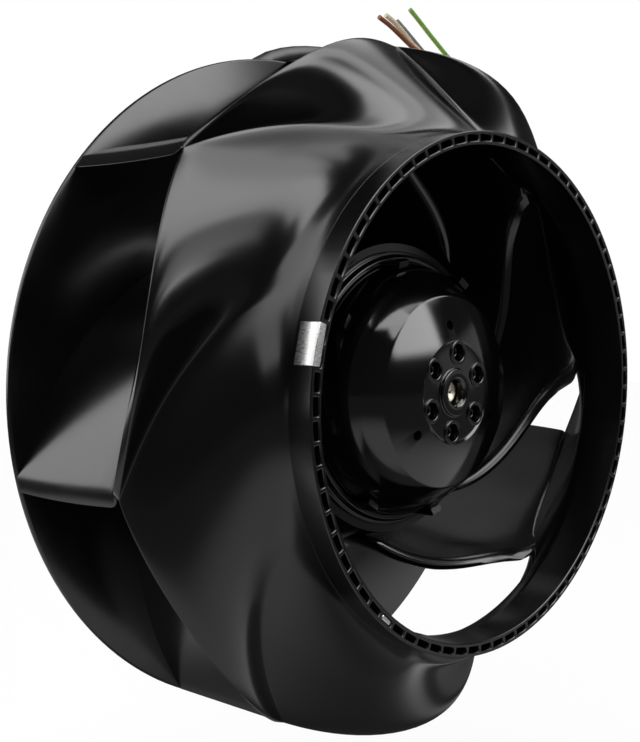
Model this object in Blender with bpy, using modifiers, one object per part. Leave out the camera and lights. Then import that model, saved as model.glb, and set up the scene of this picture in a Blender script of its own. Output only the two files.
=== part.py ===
"""Plug fan: a backward-curved moulded impeller on an external-rotor motor with built-in electronics.

Lengths are in metres and +Z is up. The rotor turns about the Y axis, the inlet faces -Y, and the origin is
the centre of the motor's rear mounting face. Most shapes are drawn in the fan's own frame, in which the axis
is local Z: "height" there is the distance ahead of the mounting face, and angles run from +X towards +Z.
"""

import math

import bmesh
import bpy
from mathutils import Matrix, Vector

MM = 0.001
SEAT_GAP = 0.3 * MM
FULL_TURN = 2 * math.pi
COLLECTION = "plug_fan"
CUTTER_COLLECTION = "plug_fan_cutters"

# Impeller
WHEEL_RADIUS = 125 * MM
BLADE_COUNT = 7
FIRST_BLADE_ANGLE = math.radians(90)
BLADE_PITCH = FULL_TURN / BLADE_COUNT
BLADE_SLOPE_AT_DISC = 0.62
BLADE_SLOPE_AT_SHROUD = 0.534
BLADE_TWIST = math.radians(0.6)
DISC_FRONT = 29.3 * MM
DISC_WALL = 2.5 * MM
SHROUD_WALL = 2.4 * MM

# Outline of the shroud along a blade and along the crown of a petal: Bezier handles as (radius, height)
SHROUD_RADIUS = 123.1 * MM
COLLAR_RADIUS = 87.7 * MM
COLLAR_FOOT = 110.5 * MM
VALLEY_HANDLES = [
    (SHROUD_RADIUS, 82.3 * MM), (117.5 * MM, 86.5 * MM), (99.9 * MM, 87.7 * MM), (COLLAR_RADIUS, COLLAR_FOOT),
]
PETAL_HANDLES = [
    (122.3 * MM, 93.3 * MM), (123 * MM, 99.1 * MM), (109.1 * MM, 94.8 * MM), (COLLAR_RADIUS, COLLAR_FOOT),
]
PETAL_SKEW = 1.18
PETAL_FULLNESS = 0.93
PETAL_STEPS = 8
SHROUD_STEPS = 6

# Blades. The leading edge sweeps from under the shroud, across the open inlet, down to the hub bell
LEADING_EDGE_HANDLES = [(88.5 * MM, 107 * MM), (84 * MM, 86 * MM), (68 * MM, 96 * MM), (54 * MM, 82 * MM)]
BLADE_INNER_RADIUS = 56 * MM
BLADE_STEPS = 12
BLADE_TAIL_THICKNESS = 2.8 * MM
BLADE_BODY_THICKNESS = 6.5 * MM
BLADE_NOSE_THICKNESS = 3.4 * MM
NOSE_SHARE = 0.15
LEADING_EDGE_ROUND = 1.8 * MM

# Hub bell of the rear disc
BELL_FOOT_RADIUS = 80 * MM
BELL_TOP_RADIUS = 52.5 * MM
BELL_TOP = 84 * MM
BELL_POWER = 2.2
BELL_STEPS = 5
BELL_LIP = 4 * MM

# Inlet ring and its balancing pockets
RING_OUTER = COLLAR_RADIUS
RING_INNER = 83.2 * MM
RING_FRONT = 128.5 * MM
RING_BACK = COLLAR_FOOT + SEAT_GAP
POCKET_COUNT = 77
POCKET_DEPTH = 8 * MM
POCKET_WALL = 1.2 * MM
POCKET_RIB = 1.3 * MM
FIRST_POCKET_ANGLE = math.radians(1.0)
CLIP_POCKET = 35
CLIP_SPAN = 1.75
CLIP_SHEET = 0.5 * MM
WEIGHT_POCKET = 49

# Rotor and shaft
ROTOR_RADIUS = 45.5 * MM
ROTOR_BACK = 38 * MM
HUB_FACE = 111.4 * MM
HUB_FACE_RADIUS = 19.4 * MM
HUB_EDGE_RADIUS = 32.5 * MM
HUB_EDGE = 106.8 * MM
HUB_SCREW_COUNT = 6
HUB_SCREW_CIRCLE = 13.9 * MM
FIRST_HUB_SCREW_ANGLE = math.radians(84)
HUB_HOLE_RADIUS = 3.0 * MM
HUB_HOLE_RIM = 4.4 * MM
PLAIN_HOLE_COUNT = 3
PLAIN_HOLE_CIRCLE = 23.5 * MM
PLAIN_HOLE_RADIUS = 1.7 * MM
FIRST_PLAIN_HOLE_ANGLE = math.radians(95)
VENT_COUNT = 8
VENT_CIRCLE = 41.2 * MM
VENT_SIZE = (2.4 * MM, 6.5 * MM, 10 * MM)
FIRST_VENT_ANGLE = math.radians(12)
ROTOR_WALL = 2.6 * MM
CATCH_COUNT = 8
CATCH_WIDTH = 7 * MM
CATCH_TOP = 97 * MM
SHAFT_RADIUS = 4 * MM
SHAFT_BACK = 27 * MM
SHAFT_FRONT = 111.8 * MM
CIRCLIP_PLACE = 3 * MM
CIRCLIP_RADIUS = 6.2 * MM
CIRCLIP_OPENING = math.radians(50)
MAGNET_BACK = 46 * MM
MAGNET_FRONT = 82 * MM
AIR_GAP = 0.8 * MM

# Stator and bearings
STATOR_TEETH = 9
STATOR_RADIUS = 38.6 * MM
STATOR_BACK = 50 * MM
STATOR_FRONT = 78 * MM
TOOTH_WIDTH = 9 * MM
YOKE_RADIUS = 22 * MM
TUBE_OUTER = 14 * MM
TUBE_BORE = 11.3 * MM
TUBE_END = 88.5 * MM
BEARING_RADIUS = 11 * MM
BEARING_WIDTH = 7 * MM
FRONT_BEARING = 80 * MM
REAR_BEARING = 37 * MM

# Electronics housing, behind the rotor
HOUSING_RADIUS = 60 * MM
HOUSING_FRONT = 25 * MM
HOUSING_WALL = 3 * MM
FLANGE_TOP = 31 * MM
FLANGE_SCREW_COUNT = 4
FLANGE_SCREW_CIRCLE = 54 * MM
FLANGE_SCREW_HOLE_RADIUS = 2.3 * MM
FIRST_FLANGE_SCREW_ANGLE = math.radians(45)
GASKET_THICKNESS = 0.8 * MM
MOUNT_HOLE_COUNT = 4
MOUNT_HOLE_CIRCLE = 45 * MM
MOUNT_HOLE_RADIUS = 2.1 * MM
MOUNT_HOLE_DEPTH = 9 * MM
MOUNT_BOSS_RADIUS = 4.8 * MM
MOUNT_BOSS_TOP = 12 * MM
FIRST_MOUNT_HOLE_ANGLE = math.radians(0)
BOARD_BACK = 15 * MM
BOARD_FRONT = 16.6 * MM
CAPACITOR_RADIUS = 8 * MM
MODULE_PLACE = 24 * MM
MODULE_SIZE = (18 * MM, 34 * MM, 6 * MM)
FIN_COUNT = 16
FIN_SIZE = (7 * MM, 2 * MM, 18 * MM)
FIN_FREE_ANGLE = math.radians(14)

# Cable: each route is in millimetres, from the gland or from the sheath's end
CABLE_ANGLE = math.radians(103)
CABLE_HEIGHT = 14 * MM
CABLE_RADIUS = 3.5 * MM
LEAD_RADIUS = 1.05 * MM
GLAND_LENGTH = 12 * MM
SHEATH_ROUTE = [
    (-16.4, -14, 71.1), (-18.2, -14.2, 79), (-19.4, -14.8, 88), (-20, -15.8, 97.6), (-19.2, -17, 106.4),
    (-16.4, -18, 114.6), (-10.9, -18.5, 121.6), (-3, -18.5, 126.6), (6.6, -18.5, 130), (17, -18.5, 132.2),
    (28, -18.5, 133.5), (40, -18.5, 133.9), (51, -18.5, 133.5), (62, -18.5, 132.4),
]
LEAD_ROUTES = {
    "lead_brown": [
        (62.5, -19.8, 133.6), (71, -20.2, 132.4), (80, -20.9, 131), (90, -21.2, 130), (99.4, -21.2, 130.6),
        (106.4, -21.2, 133.8), (108.2, -21.2, 138.6), (104, -21.2, 142.2), (97, -21.2, 143.2),
        (89.4, -21.2, 143.6), (82, -21.2, 145.9), (74.8, -21.2, 149.2), (67.8, -21.2, 152.3),
        (60.8, -21.2, 154.6),
    ],
    "lead_grey": [
        (62.3, -17.2, 131), (72, -17, 129.2), (82, -16.4, 127.6), (92, -16, 126.8), (102.6, -16, 127.8),
        (111, -16, 131.4), (114, -16, 136.8), (111, -16, 141), (104.6, -16, 143.2), (98.6, -16, 145.4),
        (94.2, -16, 147.9), (89.9, -16, 150.4), (84.4, -16, 153.7), (78.7, -16, 156.9),
    ],
    "lead_cream": [
        (62.3, -19.8, 131), (71, -19.4, 129.8), (80, -18.9, 128.4), (90, -18.6, 127.6), (100.2, -18.6, 128.4),
        (108.4, -18.6, 132), (111, -18.6, 137.4), (107.4, -18.6, 141.4), (100, -18.6, 143),
        (93.2, -18.6, 144.6), (87.2, -18.6, 147.2), (81, -18.6, 151.1), (75, -18.6, 154.6),
        (68.3, -18.6, 157.2),
    ],
    "lead_earth": [
        (62.5, -17.2, 133.6), (72, -15.4, 135.4), (83, -14.4, 136.2), (95, -14, 135), (106, -13.6, 131.6),
        (116, -13.6, 130.4), (124.4, -13.8, 132.6), (128, -13.8, 137.6), (125.8, -14.6, 142.2),
        (120.8, -15, 145), (115.4, -15, 147.7), (108.6, -15, 151.8), (101.6, -15, 156.1), (95, -15, 160.3),
        (88.9, -15, 164),
    ],
}

# Finish of each kind of piece: colour, roughness and, for a metal, how metallic it is
LOOKS = {
    "black_plastic": ((0.012, 0.012, 0.013), 0.28),
    "black_metal": ((0.010, 0.010, 0.011), 0.22, 0.3),
    "bright_steel": ((0.72, 0.71, 0.69), 0.28, 1.0),
    "cast_aluminium": ((0.45, 0.46, 0.47), 0.45, 1.0),
    "laminations": ((0.30, 0.31, 0.33), 0.5, 1.0),
    "magnet": ((0.10, 0.10, 0.11), 0.6),
    "copper": ((0.72, 0.30, 0.12), 0.35, 1.0),
    "circuit_board": ((0.02, 0.16, 0.06), 0.4),
    "capacitor": ((0.05, 0.05, 0.09), 0.35),
    "rubber": ((0.02, 0.02, 0.02), 0.8),
    "cable_black": ((0.02, 0.02, 0.02), 0.45),
    "lead_brown": ((0.20, 0.07, 0.03), 0.45),
    "lead_grey": ((0.28, 0.28, 0.29), 0.45),
    "lead_cream": ((0.75, 0.68, 0.52), 0.45),
    "lead_earth": ((0.35, 0.55, 0.10), 0.45),
}


def make_collection(name):
    collection = bpy.data.collections.new(name)
    bpy.context.scene.collection.children.link(collection)
    return collection


def make_frame(name):
    """An empty on the fan's axis, turned so that its local Z points at the inlet."""
    frame = bpy.data.objects.new(name, None)
    frame.rotation_euler = (math.pi / 2, 0, 0)
    bpy.data.collections[COLLECTION].objects.link(frame)
    return frame


def make_material(name, colour, roughness, metallic=0.0):
    material = bpy.data.materials.new(name)
    material.use_nodes = True
    shader = material.node_tree.nodes["Principled BSDF"]
    shader.inputs["Base Color"].default_value = (*colour, 1)
    shader.inputs["Roughness"].default_value = roughness
    shader.inputs["Metallic"].default_value = metallic
    material.diffuse_color = (*colour, 1)
    return material


def add_part(name, data, parent, look, smooth_angle=35):
    """Links one sub-part, finished in its own copy of a look."""
    obj = bpy.data.objects.new(name, data)
    bpy.data.collections[COLLECTION].objects.link(obj)
    obj.parent = parent
    data.materials.append(make_material(name, *LOOKS[look]))
    if isinstance(data, bpy.types.Mesh):
        data.shade_smooth()
        data.set_sharp_from_angle(angle=math.radians(smooth_angle))
    return obj


def add_cutter(name, mesh, parent):
    cutter = bpy.data.objects.new(name, mesh)
    bpy.data.collections[CUTTER_COLLECTION].objects.link(cutter)
    cutter.parent = parent
    cutter.hide_render = True
    cutter.display_type = "WIRE"
    return cutter


def use_boolean(obj, tool, operation="DIFFERENCE"):
    modifier = obj.modifiers.new(operation.lower(), "BOOLEAN")
    modifier.operation = operation
    modifier.object = tool


def mesh_from(name, build):
    """A mesh whose bmesh is filled in by the function build."""
    mesh = bpy.data.meshes.new(name)
    work = bmesh.new()
    build(work)
    bmesh.ops.recalc_face_normals(work, faces=work.faces)
    work.to_mesh(mesh)
    work.free()
    return mesh


def polar(radius, angle, height):
    return Vector((radius * math.cos(angle), radius * math.sin(angle), height))


def ring_of_angles(count, first=0.0):
    return [first + FULL_TURN * index / count for index in range(count)]


def bezier(handles, share):
    """A point (radius, height) of a cubic curve, share running from 0 to 1."""
    rest = 1 - share
    weights = (rest**3, 3 * rest**2 * share, 3 * rest * share**2, share**3)
    return [sum(weight * handle[axis] for weight, handle in zip(weights, handles)) for axis in (0, 1)]


def shoelace(points):
    return sum(a[0] * b[1] - b[0] * a[1] for a, b in zip(points, points[1:] + points[:1]))


def turned_mesh(name, outline):
    """A profile of (radius, height) points. One that starts and ends on the axis is left open there."""
    points = list(outline)
    if shoelace(points) > 0:
        points.reverse()
    on_axis = points[0][0] == 0 and points[-1][0] == 0
    mesh = bpy.data.meshes.new(name)
    count = len(points)
    edges = [(index, (index + 1) % count) for index in range(count - 1 if on_axis else count)]
    mesh.from_pydata([(radius, 0, height) for radius, height in points], edges, [])
    return mesh


def screw(obj, steps):
    modifier = obj.modifiers.new("turn", "SCREW")
    modifier.axis = "Z"
    modifier.angle = FULL_TURN
    modifier.steps = steps
    modifier.render_steps = steps
    modifier.use_merge_vertices = True
    modifier.merge_threshold = 0.00001
    modifier.use_smooth_shade = True


def add_turned(name, outline, parent, look, steps=48):
    obj = add_part(name, turned_mesh(name, outline), parent, look)
    screw(obj, steps)
    return obj


def in_mm(points):
    """Points of an outline that are written in millimetres."""
    return [(radius * MM, height * MM) for radius, height in points]


def annulus(inner, outer, low, high):
    """Outline of a plain ring."""
    return [(outer, high), (outer, low), (inner, low), (inner, high)]


def cylinders_mesh(name, places, radius, low, high, sides=12):
    """Upright cylinders at places (radius, angle), as one mesh."""
    def build(work):
        for distance, angle in places:
            bmesh.ops.create_cone(
                work, cap_ends=True, segments=sides, radius1=radius, radius2=radius,
                depth=high - low, matrix=Matrix.Translation(polar(distance, angle, (low + high) / 2)),
            )
    return mesh_from(name, build)


def box_at(work, radius, angle, height, size):
    """Adds a box of (radial, sideways, axial) size at a place on the fan."""
    turn = Matrix.Rotation(angle, 4, "Z")
    place = Matrix.Translation(polar(radius, angle, height))
    bmesh.ops.create_cube(work, size=1, matrix=place @ turn @ Matrix.Diagonal((*size, 1)))


def skin(work, rings, joined=False):
    """Faces between each ring of points and the next, and from the last back to the first if joined."""
    following = rings[1:] + rings[:1] if joined else rings[1:]
    for one, two in zip(rings, following):
        count = len(one)
        for index in range(count):
            after = (index + 1) % count
            work.faces.new((one[index], one[after], two[after], two[index]))


def loft(work, sections):
    """A solid through sections with equal numbers of points, capped at its two ends."""
    rings = [[work.verts.new(point) for point in section] for section in sections]
    skin(work, rings)
    work.faces.new(rings[0])
    work.faces.new(rings[-1])


def bar_at(work, angle, outline, width):
    """Adds a bar of this width, square to the radius at an angle; its outline is (radius, height) points."""
    sideways = polar(1, angle + math.pi / 2, 0)
    ends = [[polar(radius, angle, height) + side * width / 2 * sideways for radius, height in outline]
            for side in (-1, 1)]
    loft(work, ends)


def lag_at_disc(radius):
    """Angle by which a backward-curved blade's foot lags its outer end at this radius."""
    return math.log(WHEEL_RADIUS / radius) / BLADE_SLOPE_AT_DISC


def lag_at_shroud(radius):
    """The same for the blade's front edge, and so for the shroud's valleys."""
    return math.log(SHROUD_RADIUS / radius) / BLADE_SLOPE_AT_SHROUD + BLADE_TWIST


def petal_point(across, along):
    """Point of the shroud, across from the rim (0) to the inlet (1) and along from blade to blade."""
    valley = bezier(VALLEY_HANDLES, across)
    crown = bezier(PETAL_HANDLES, across)
    bulge = math.sin(math.pi * along**PETAL_SKEW)**PETAL_FULLNESS
    radius = valley[0] + (crown[0] - valley[0]) * bulge
    height = valley[1] + (crown[1] - valley[1]) * bulge
    angle = along * BLADE_PITCH - lag_at_shroud(radius)
    return radius, angle, height


def curve_height(handles, radius):
    """Height at this radius of a curve whose radius falls from its first handle to its last."""
    low, high = 0.0, 1.0
    for _ in range(30):
        middle = (low + high) / 2
        if bezier(handles, middle)[0] > radius:
            low = middle
        else:
            high = middle
    return bezier(handles, low)[1]


def valley_height(radius):
    """Height of the shroud's outer face where a blade meets it at this radius."""
    return curve_height(VALLEY_HANDLES, radius)


def bell_outline():
    """Front face of the rear disc's bell, rising from the flat disc to the hub, as (radius, height) points."""
    points = []
    for step in range(BELL_STEPS + 1):
        share = step / BELL_STEPS
        radius = BELL_FOOT_RADIUS + (BELL_TOP_RADIUS - BELL_FOOT_RADIUS) * share
        points.append((radius, DISC_FRONT + (BELL_TOP - DISC_FRONT) * share**BELL_POWER))
    return points


def bell_height(radius):
    """Height of the rear disc's front face at this radius."""
    points = bell_outline()
    for (outer, low), (inner, high) in zip(points, points[1:]):
        if radius > inner:
            share = min((outer - radius) / (outer - inner), 1)
            return low + (high - low) * max(share, 0)
    return BELL_TOP


def blade_top(radius):
    """Height of a blade's front edge: inside the shroud's wall, where it is trimmed, or its leading edge."""
    if radius > LEADING_EDGE_HANDLES[0][0]:
        return valley_height(radius) - SHROUD_WALL / 2
    return curve_height(LEADING_EDGE_HANDLES, radius)


def blade_thickness(radius):
    """Thick behind a rounded nose, tapering to the outer end."""
    share = (radius - BLADE_INNER_RADIUS) / (WHEEL_RADIUS - BLADE_INNER_RADIUS)
    if share < NOSE_SHARE:
        swell = math.sin(math.pi / 2 * share / NOSE_SHARE)
        return BLADE_NOSE_THICKNESS + (BLADE_BODY_THICKNESS - BLADE_NOSE_THICKNESS) * swell
    taper = (share - NOSE_SHARE) / (1 - NOSE_SHARE)
    return BLADE_BODY_THICKNESS + (BLADE_TAIL_THICKNESS - BLADE_BODY_THICKNESS) * taper


def shroud_mesh(name):
    """Outer face of the front shroud as an open sheet, one petal for each gap between blades."""
    def build(work):
        rows = []
        for row in range(SHROUD_STEPS + 1):
            points = []
            for blade in range(BLADE_COUNT):
                for step in range(PETAL_STEPS):
                    radius, angle, height = petal_point(row / SHROUD_STEPS, step / PETAL_STEPS)
                    angle += FIRST_BLADE_ANGLE + blade * BLADE_PITCH
                    points.append(work.verts.new(polar(radius, angle, height)))
            rows.append(points)
        skin(work, rows)
    return mesh_from(name, build)


def thicken(obj, thickness):
    """Gives a sheet a wall on the side away from the inlet."""
    wall = obj.modifiers.new("wall", "SOLIDIFY")
    wall.thickness = thickness
    wall.offset = -1
    wall.use_even_offset = True


def bevel(obj, width):
    edge = obj.modifiers.new("edge", "BEVEL")
    edge.width = width
    edge.segments = 1


def add_shroud(rotor):
    shroud = add_part("front_shroud", shroud_mesh("front_shroud"), rotor, "black_plastic")
    thicken(shroud, SHROUD_WALL)
    trim = add_cutter("blade_trim", shroud_mesh("blade_trim"), rotor)
    thicken(trim, SHROUD_WALL + 2 * SEAT_GAP)
    return shroud


def blade_section(lead, radius):
    """Cross-section of a blade near this radius, with its front edge rounded off."""
    tilt = math.atan(1 / BLADE_SLOPE_AT_DISC)
    half = blade_thickness(radius) / 2 / radius / math.cos(tilt)
    low = bell_height(radius * math.cos(half)) + SEAT_GAP
    high = blade_top(radius)
    rounding = LEADING_EDGE_ROUND if radius < LEADING_EDGE_HANDLES[0][0] else 0.2 * MM
    outwards = (radius - BLADE_INNER_RADIUS) / (WHEEL_RADIUS - BLADE_INNER_RADIUS)

    def corner(side, height):
        rise = min((height - DISC_FRONT) / (VALLEY_HANDLES[0][1] - DISC_FRONT), 1)
        here = radius - (WHEEL_RADIUS - SHROUD_RADIUS) * rise * outwards
        foot, edge = lead - lag_at_disc(radius), lead - lag_at_shroud(here)
        return polar(here, foot + (edge - foot) * rise + side * half, height)
    flat = 0.55
    return [
        corner(-1, low), corner(1, low), corner(1, high - rounding), corner(flat, high), corner(-flat, high),
        corner(-1, high - rounding),
    ]


def add_blade(rotor, number):
    """A backward-curved blade standing on the rear disc."""
    lead = FIRST_BLADE_ANGLE + number * BLADE_PITCH

    def build(work):
        length = WHEEL_RADIUS - BLADE_INNER_RADIUS
        radii = [WHEEL_RADIUS - length * step / BLADE_STEPS for step in range(BLADE_STEPS + 1)]
        loft(work, [blade_section(lead, radius) for radius in radii])
    name = f"blade_{number + 1}"
    blade = add_part(name, mesh_from(name, build), rotor, "black_plastic")
    use_boolean(blade, bpy.data.objects["blade_trim"])
    return blade


def offset_back(outline, distance):
    """The points of an open outline moved square to it, to the side away from the inlet."""
    moved = []
    for index in range(1, len(outline)):
        before = Vector(outline[index - 1])
        after = Vector(outline[min(index + 1, len(outline) - 1)])
        along = (after - before).normalized()
        radius, height = outline[index]
        moved.append((radius - distance * along.y, height + distance * along.x))
    return moved


def add_rear_disc(rotor):
    """Rear disc: flat at the rim, drawn up into a bell that grips the motor's rotor."""
    edge = 0.6 * MM
    front = [(WHEEL_RADIUS - edge, DISC_FRONT)] + bell_outline()
    lip_back = BELL_TOP - BELL_LIP
    back = [(radius, min(height, lip_back - 0.2 * MM)) for radius, height in offset_back(front, DISC_WALL)]
    back[-1] = (back[-2][0] - 1.2 * MM, lip_back)
    rim = [(WHEEL_RADIUS - edge, DISC_FRONT - DISC_WALL), (WHEEL_RADIUS, DISC_FRONT - DISC_WALL + edge),
           (WHEEL_RADIUS, DISC_FRONT - edge)]
    lip = [(ROTOR_RADIUS + SEAT_GAP, BELL_TOP), (ROTOR_RADIUS + SEAT_GAP, lip_back)]
    return add_turned("rear_disc", rim + front + lip + back[::-1], rotor, "black_plastic", steps=36)


def pocket_angle(number):
    return FIRST_POCKET_ANGLE + number * FULL_TURN / POCKET_COUNT


def add_inlet_ring(rotor):
    """Inlet ring: a double wall with a rib between every two balancing pockets."""
    lead_in = 1.2 * MM
    outline = [
        (RING_OUTER, RING_FRONT), (RING_OUTER, RING_BACK), (RING_OUTER - SHROUD_WALL, RING_BACK),
        (RING_INNER, RING_BACK + 4 * MM), (RING_INNER, RING_FRONT - lead_in),
        (RING_INNER + lead_in / 3, RING_FRONT),
    ]
    ring = add_turned("inlet_ring", outline, rotor, "black_plastic", steps=POCKET_COUNT)
    ring.rotation_euler.z = pocket_angle(0) + math.pi / POCKET_COUNT
    middle = (RING_OUTER + RING_INNER) / 2
    width = RING_OUTER - RING_INNER - 2 * POCKET_WALL
    length = FULL_TURN * middle / POCKET_COUNT - POCKET_RIB
    overshoot = 1 * MM

    def build(work):
        for number in range(POCKET_COUNT):
            height = RING_FRONT + (overshoot - POCKET_DEPTH) / 2
            box_at(work, middle, pocket_angle(number), height, (width, length, POCKET_DEPTH + overshoot))
    use_boolean(ring, add_cutter("pocket_cutters", mesh_from("pocket_cutters", build), rotor))
    return ring


def add_balance_clip(rotor):
    """Spring-steel clip over the ring's outer wall, with a tongue in each of two pockets."""
    sheet = CLIP_SHEET
    outer = RING_OUTER + SEAT_GAP
    inner = RING_OUTER - POCKET_WALL - SEAT_GAP
    top = RING_FRONT + SEAT_GAP
    outer_foot = RING_FRONT - 7 * MM
    inner_foot = RING_FRONT - 6 * MM
    outline = [
        (inner, inner_foot), (inner, top), (outer, top), (outer, outer_foot), (outer + sheet, outer_foot),
        (outer + sheet, top + sheet), (inner - sheet, top + sheet), (inner - sheet, inner_foot),
    ]
    span = CLIP_SPAN * FULL_TURN / POCKET_COUNT
    centre = pocket_angle(CLIP_POCKET) + math.pi / POCKET_COUNT
    steps = 6

    def build(work):
        angles = [centre + span * (step / steps - 0.5) for step in range(steps + 1)]
        loft(work, [[polar(radius, angle, height) for radius, height in outline] for angle in angles])
    clip = add_part("balance_clip", mesh_from("balance_clip", build), rotor, "bright_steel")

    def build_notch(work):
        size = (1.2 * MM, POCKET_RIB + 1 * MM, 2 * (RING_FRONT - inner_foot))
        box_at(work, inner - sheet / 2, centre, inner_foot, size)
    use_boolean(clip, add_cutter("clip_notch", mesh_from("clip_notch", build_notch), rotor))
    return clip


def add_balance_weight(rotor):
    """Small steel weight pushed into one pocket."""
    middle = (RING_OUTER + RING_INNER) / 2

    def build(work):
        box_at(work, middle, pocket_angle(WEIGHT_POCKET), RING_FRONT - 3.2 * MM, (1.5 * MM, 4.6 * MM, 6 * MM))
    weight = add_part("balance_weight", mesh_from("balance_weight", build), rotor, "bright_steel")
    bevel(weight, 0.25 * MM)
    return weight


def add_clamp_ring(rotor):
    """Ring that holds the impeller's lip down on the rotor; its catches lean over the rotor's shoulder."""
    low = BELL_TOP + SEAT_GAP
    inner = ROTOR_RADIUS + SEAT_GAP
    outer = 49.6 * MM
    wall = 1.8 * MM
    foot = 1.2 * MM
    collar = low + 3.4 * MM
    ring = add_turned("hub_clamp_ring", [
        (outer, low + foot), (outer, low), (inner, low), (inner, collar), (inner + wall, collar),
        (inner + wall + 0.6 * MM, low + foot),
    ], rotor, "black_plastic", steps=28)
    leg_inner = inner + 0.2 * MM
    leg_outer = inner + 1.6 * MM
    hook_tip = inner - 1.8 * MM
    hook_back = CATCH_TOP - 1.2 * MM
    outline = [
        (leg_outer, low + foot), (leg_outer, CATCH_TOP), (hook_tip, CATCH_TOP), (hook_tip, hook_back),
        (leg_inner, hook_back), (leg_inner, low + foot),
    ]

    def build(work):
        for angle in ring_of_angles(CATCH_COUNT, FIRST_VENT_ANGLE):
            bar_at(work, angle, outline, CATCH_WIDTH)
    mesh = mesh_from("catches", build)
    use_boolean(ring, add_cutter("catches", mesh, rotor), "UNION")
    return ring


def rotor_outline():
    """Cross-section of the rotor: a steel cup, stepped at the front, with a boss for the shaft."""
    bore = SHAFT_RADIUS + SEAT_GAP
    inside = ROTOR_RADIUS - ROTOR_WALL
    boss_radius = 8.3 * MM
    boss_top = HUB_FACE + 1.2 * MM
    boss_foot = 98 * MM
    boss = [(bore, boss_top), (boss_radius, boss_top), (boss_radius, HUB_FACE)]
    face = [
        (HUB_FACE_RADIUS, HUB_FACE), (HUB_FACE_RADIUS + 0.6 * MM, HUB_FACE + 0.5 * MM),
        (HUB_EDGE_RADIUS - 1 * MM, HUB_EDGE + 0.5 * MM), (HUB_EDGE_RADIUS, HUB_EDGE - 0.6 * MM),
        (HUB_EDGE_RADIUS, 100 * MM),
    ]
    shoulder = in_mm([(34, 97), (38.5, 95.8), (43, 95), (44.9, 94)])
    side = [(ROTOR_RADIUS, 91.8 * MM), (ROTOR_RADIUS, ROTOR_BACK), (inside, ROTOR_BACK), (inside, 91 * MM)]
    roof = in_mm([(42, 92.2), (34, 93.2), (30, 97), (29.6, 103), (20, 107.4), (10, 107.4)])
    return boss + face + shoulder + side + roof + [(9 * MM, boss_foot), (bore, boss_foot)]


def add_rotor_shell(rotor):
    """Rotor cup with rimmed screw holes in its hub face, three plain holes and vents in its shoulder."""
    inside = 100 * MM
    outside = 115 * MM
    shell = add_turned("rotor_shell", rotor_outline(), rotor, "black_metal", steps=24)
    screw_angles = ring_of_angles(HUB_SCREW_COUNT, FIRST_HUB_SCREW_ANGLE)
    screw_places = [(HUB_SCREW_CIRCLE, angle) for angle in screw_angles]
    rim_top = HUB_FACE + 0.6 * MM
    rims = cylinders_mesh("hub_hole_rims", screw_places, HUB_HOLE_RIM, rim_top - 3 * MM, rim_top, sides=10)
    use_boolean(shell, add_cutter("hub_hole_rims", rims, rotor), "UNION")
    holes = cylinders_mesh("hub_holes", screw_places, HUB_HOLE_RADIUS, inside, outside, sides=10)
    use_boolean(shell, add_cutter("hub_holes", holes, rotor))
    plain_angles = ring_of_angles(PLAIN_HOLE_COUNT, FIRST_PLAIN_HOLE_ANGLE)
    plain_places = [(PLAIN_HOLE_CIRCLE, angle) for angle in plain_angles]
    plain = cylinders_mesh("plain_holes", plain_places, PLAIN_HOLE_RADIUS, inside, outside, sides=8)
    use_boolean(shell, add_cutter("plain_holes", plain, rotor))

    def build_vents(work):
        shoulder = 94 * MM
        for angle in ring_of_angles(VENT_COUNT, FIRST_VENT_ANGLE):
            box_at(work, VENT_CIRCLE, angle, shoulder, VENT_SIZE)
    use_boolean(shell, add_cutter("vent_cutters", mesh_from("vent_cutters", build_vents), rotor))
    return shell


def add_hub_screws(rotor):
    """Six button-headed screws, each sunk in its hole of the hub face."""
    head = HUB_HOLE_RADIUS - SEAT_GAP
    socket = in_mm([(0, 109.2), (1.1, 109.2), (1.2, 110.4), (2.1, 110.2)])
    shank = in_mm([(1.7, 107.6), (1.7, 101), (0, 101)])
    outline = socket + [(head, 109.2 * MM), (head, 107.6 * MM)] + shank
    for number, angle in enumerate(ring_of_angles(HUB_SCREW_COUNT, FIRST_HUB_SCREW_ANGLE)):
        obj = add_turned(f"hub_screw_{number + 1}", outline, rotor, "bright_steel", steps=8)
        obj.location = polar(HUB_SCREW_CIRCLE, angle, 0)


def add_shaft_and_magnets(rotor):
    chamfer = 0.8 * MM
    groove_foot = SHAFT_BACK + CIRCLIP_PLACE
    groove_top = groove_foot + 1.2 * MM
    groove_radius = SHAFT_RADIUS - 0.6 * MM
    add_turned("rotor_shaft", [
        (0, SHAFT_FRONT), (SHAFT_RADIUS - chamfer, SHAFT_FRONT), (SHAFT_RADIUS, SHAFT_FRONT - chamfer),
        (SHAFT_RADIUS, groove_top), (groove_radius, groove_top), (groove_radius, groove_foot),
        (SHAFT_RADIUS, groove_foot), (SHAFT_RADIUS, SHAFT_BACK + chamfer),
        (SHAFT_RADIUS - chamfer, SHAFT_BACK), (0, SHAFT_BACK),
    ], rotor, "bright_steel", steps=16)
    outer = ROTOR_RADIUS - ROTOR_WALL - SEAT_GAP
    magnets = annulus(STATOR_RADIUS + AIR_GAP, outer, MAGNET_BACK, MAGNET_FRONT)
    add_turned("magnet_ring", magnets, rotor, "magnet", steps=24)


def add_circlip(rotor):
    """Open retaining ring in the shaft's groove."""
    low = SHAFT_BACK + CIRCLIP_PLACE + SEAT_GAP / 2
    high = low + 0.9 * MM
    inner = SHAFT_RADIUS - 0.3 * MM
    corners = ((inner, low), (CIRCLIP_RADIUS, low), (CIRCLIP_RADIUS, high), (inner, high))
    steps = 20

    def build(work):
        sections = []
        for step in range(steps + 1):
            angle = CIRCLIP_OPENING / 2 + (FULL_TURN - CIRCLIP_OPENING) * step / steps
            sections.append([polar(radius, angle, height) for radius, height in corners])
        loft(work, sections)
    return add_part("shaft_circlip", mesh_from("shaft_circlip", build), rotor, "bright_steel")


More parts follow.
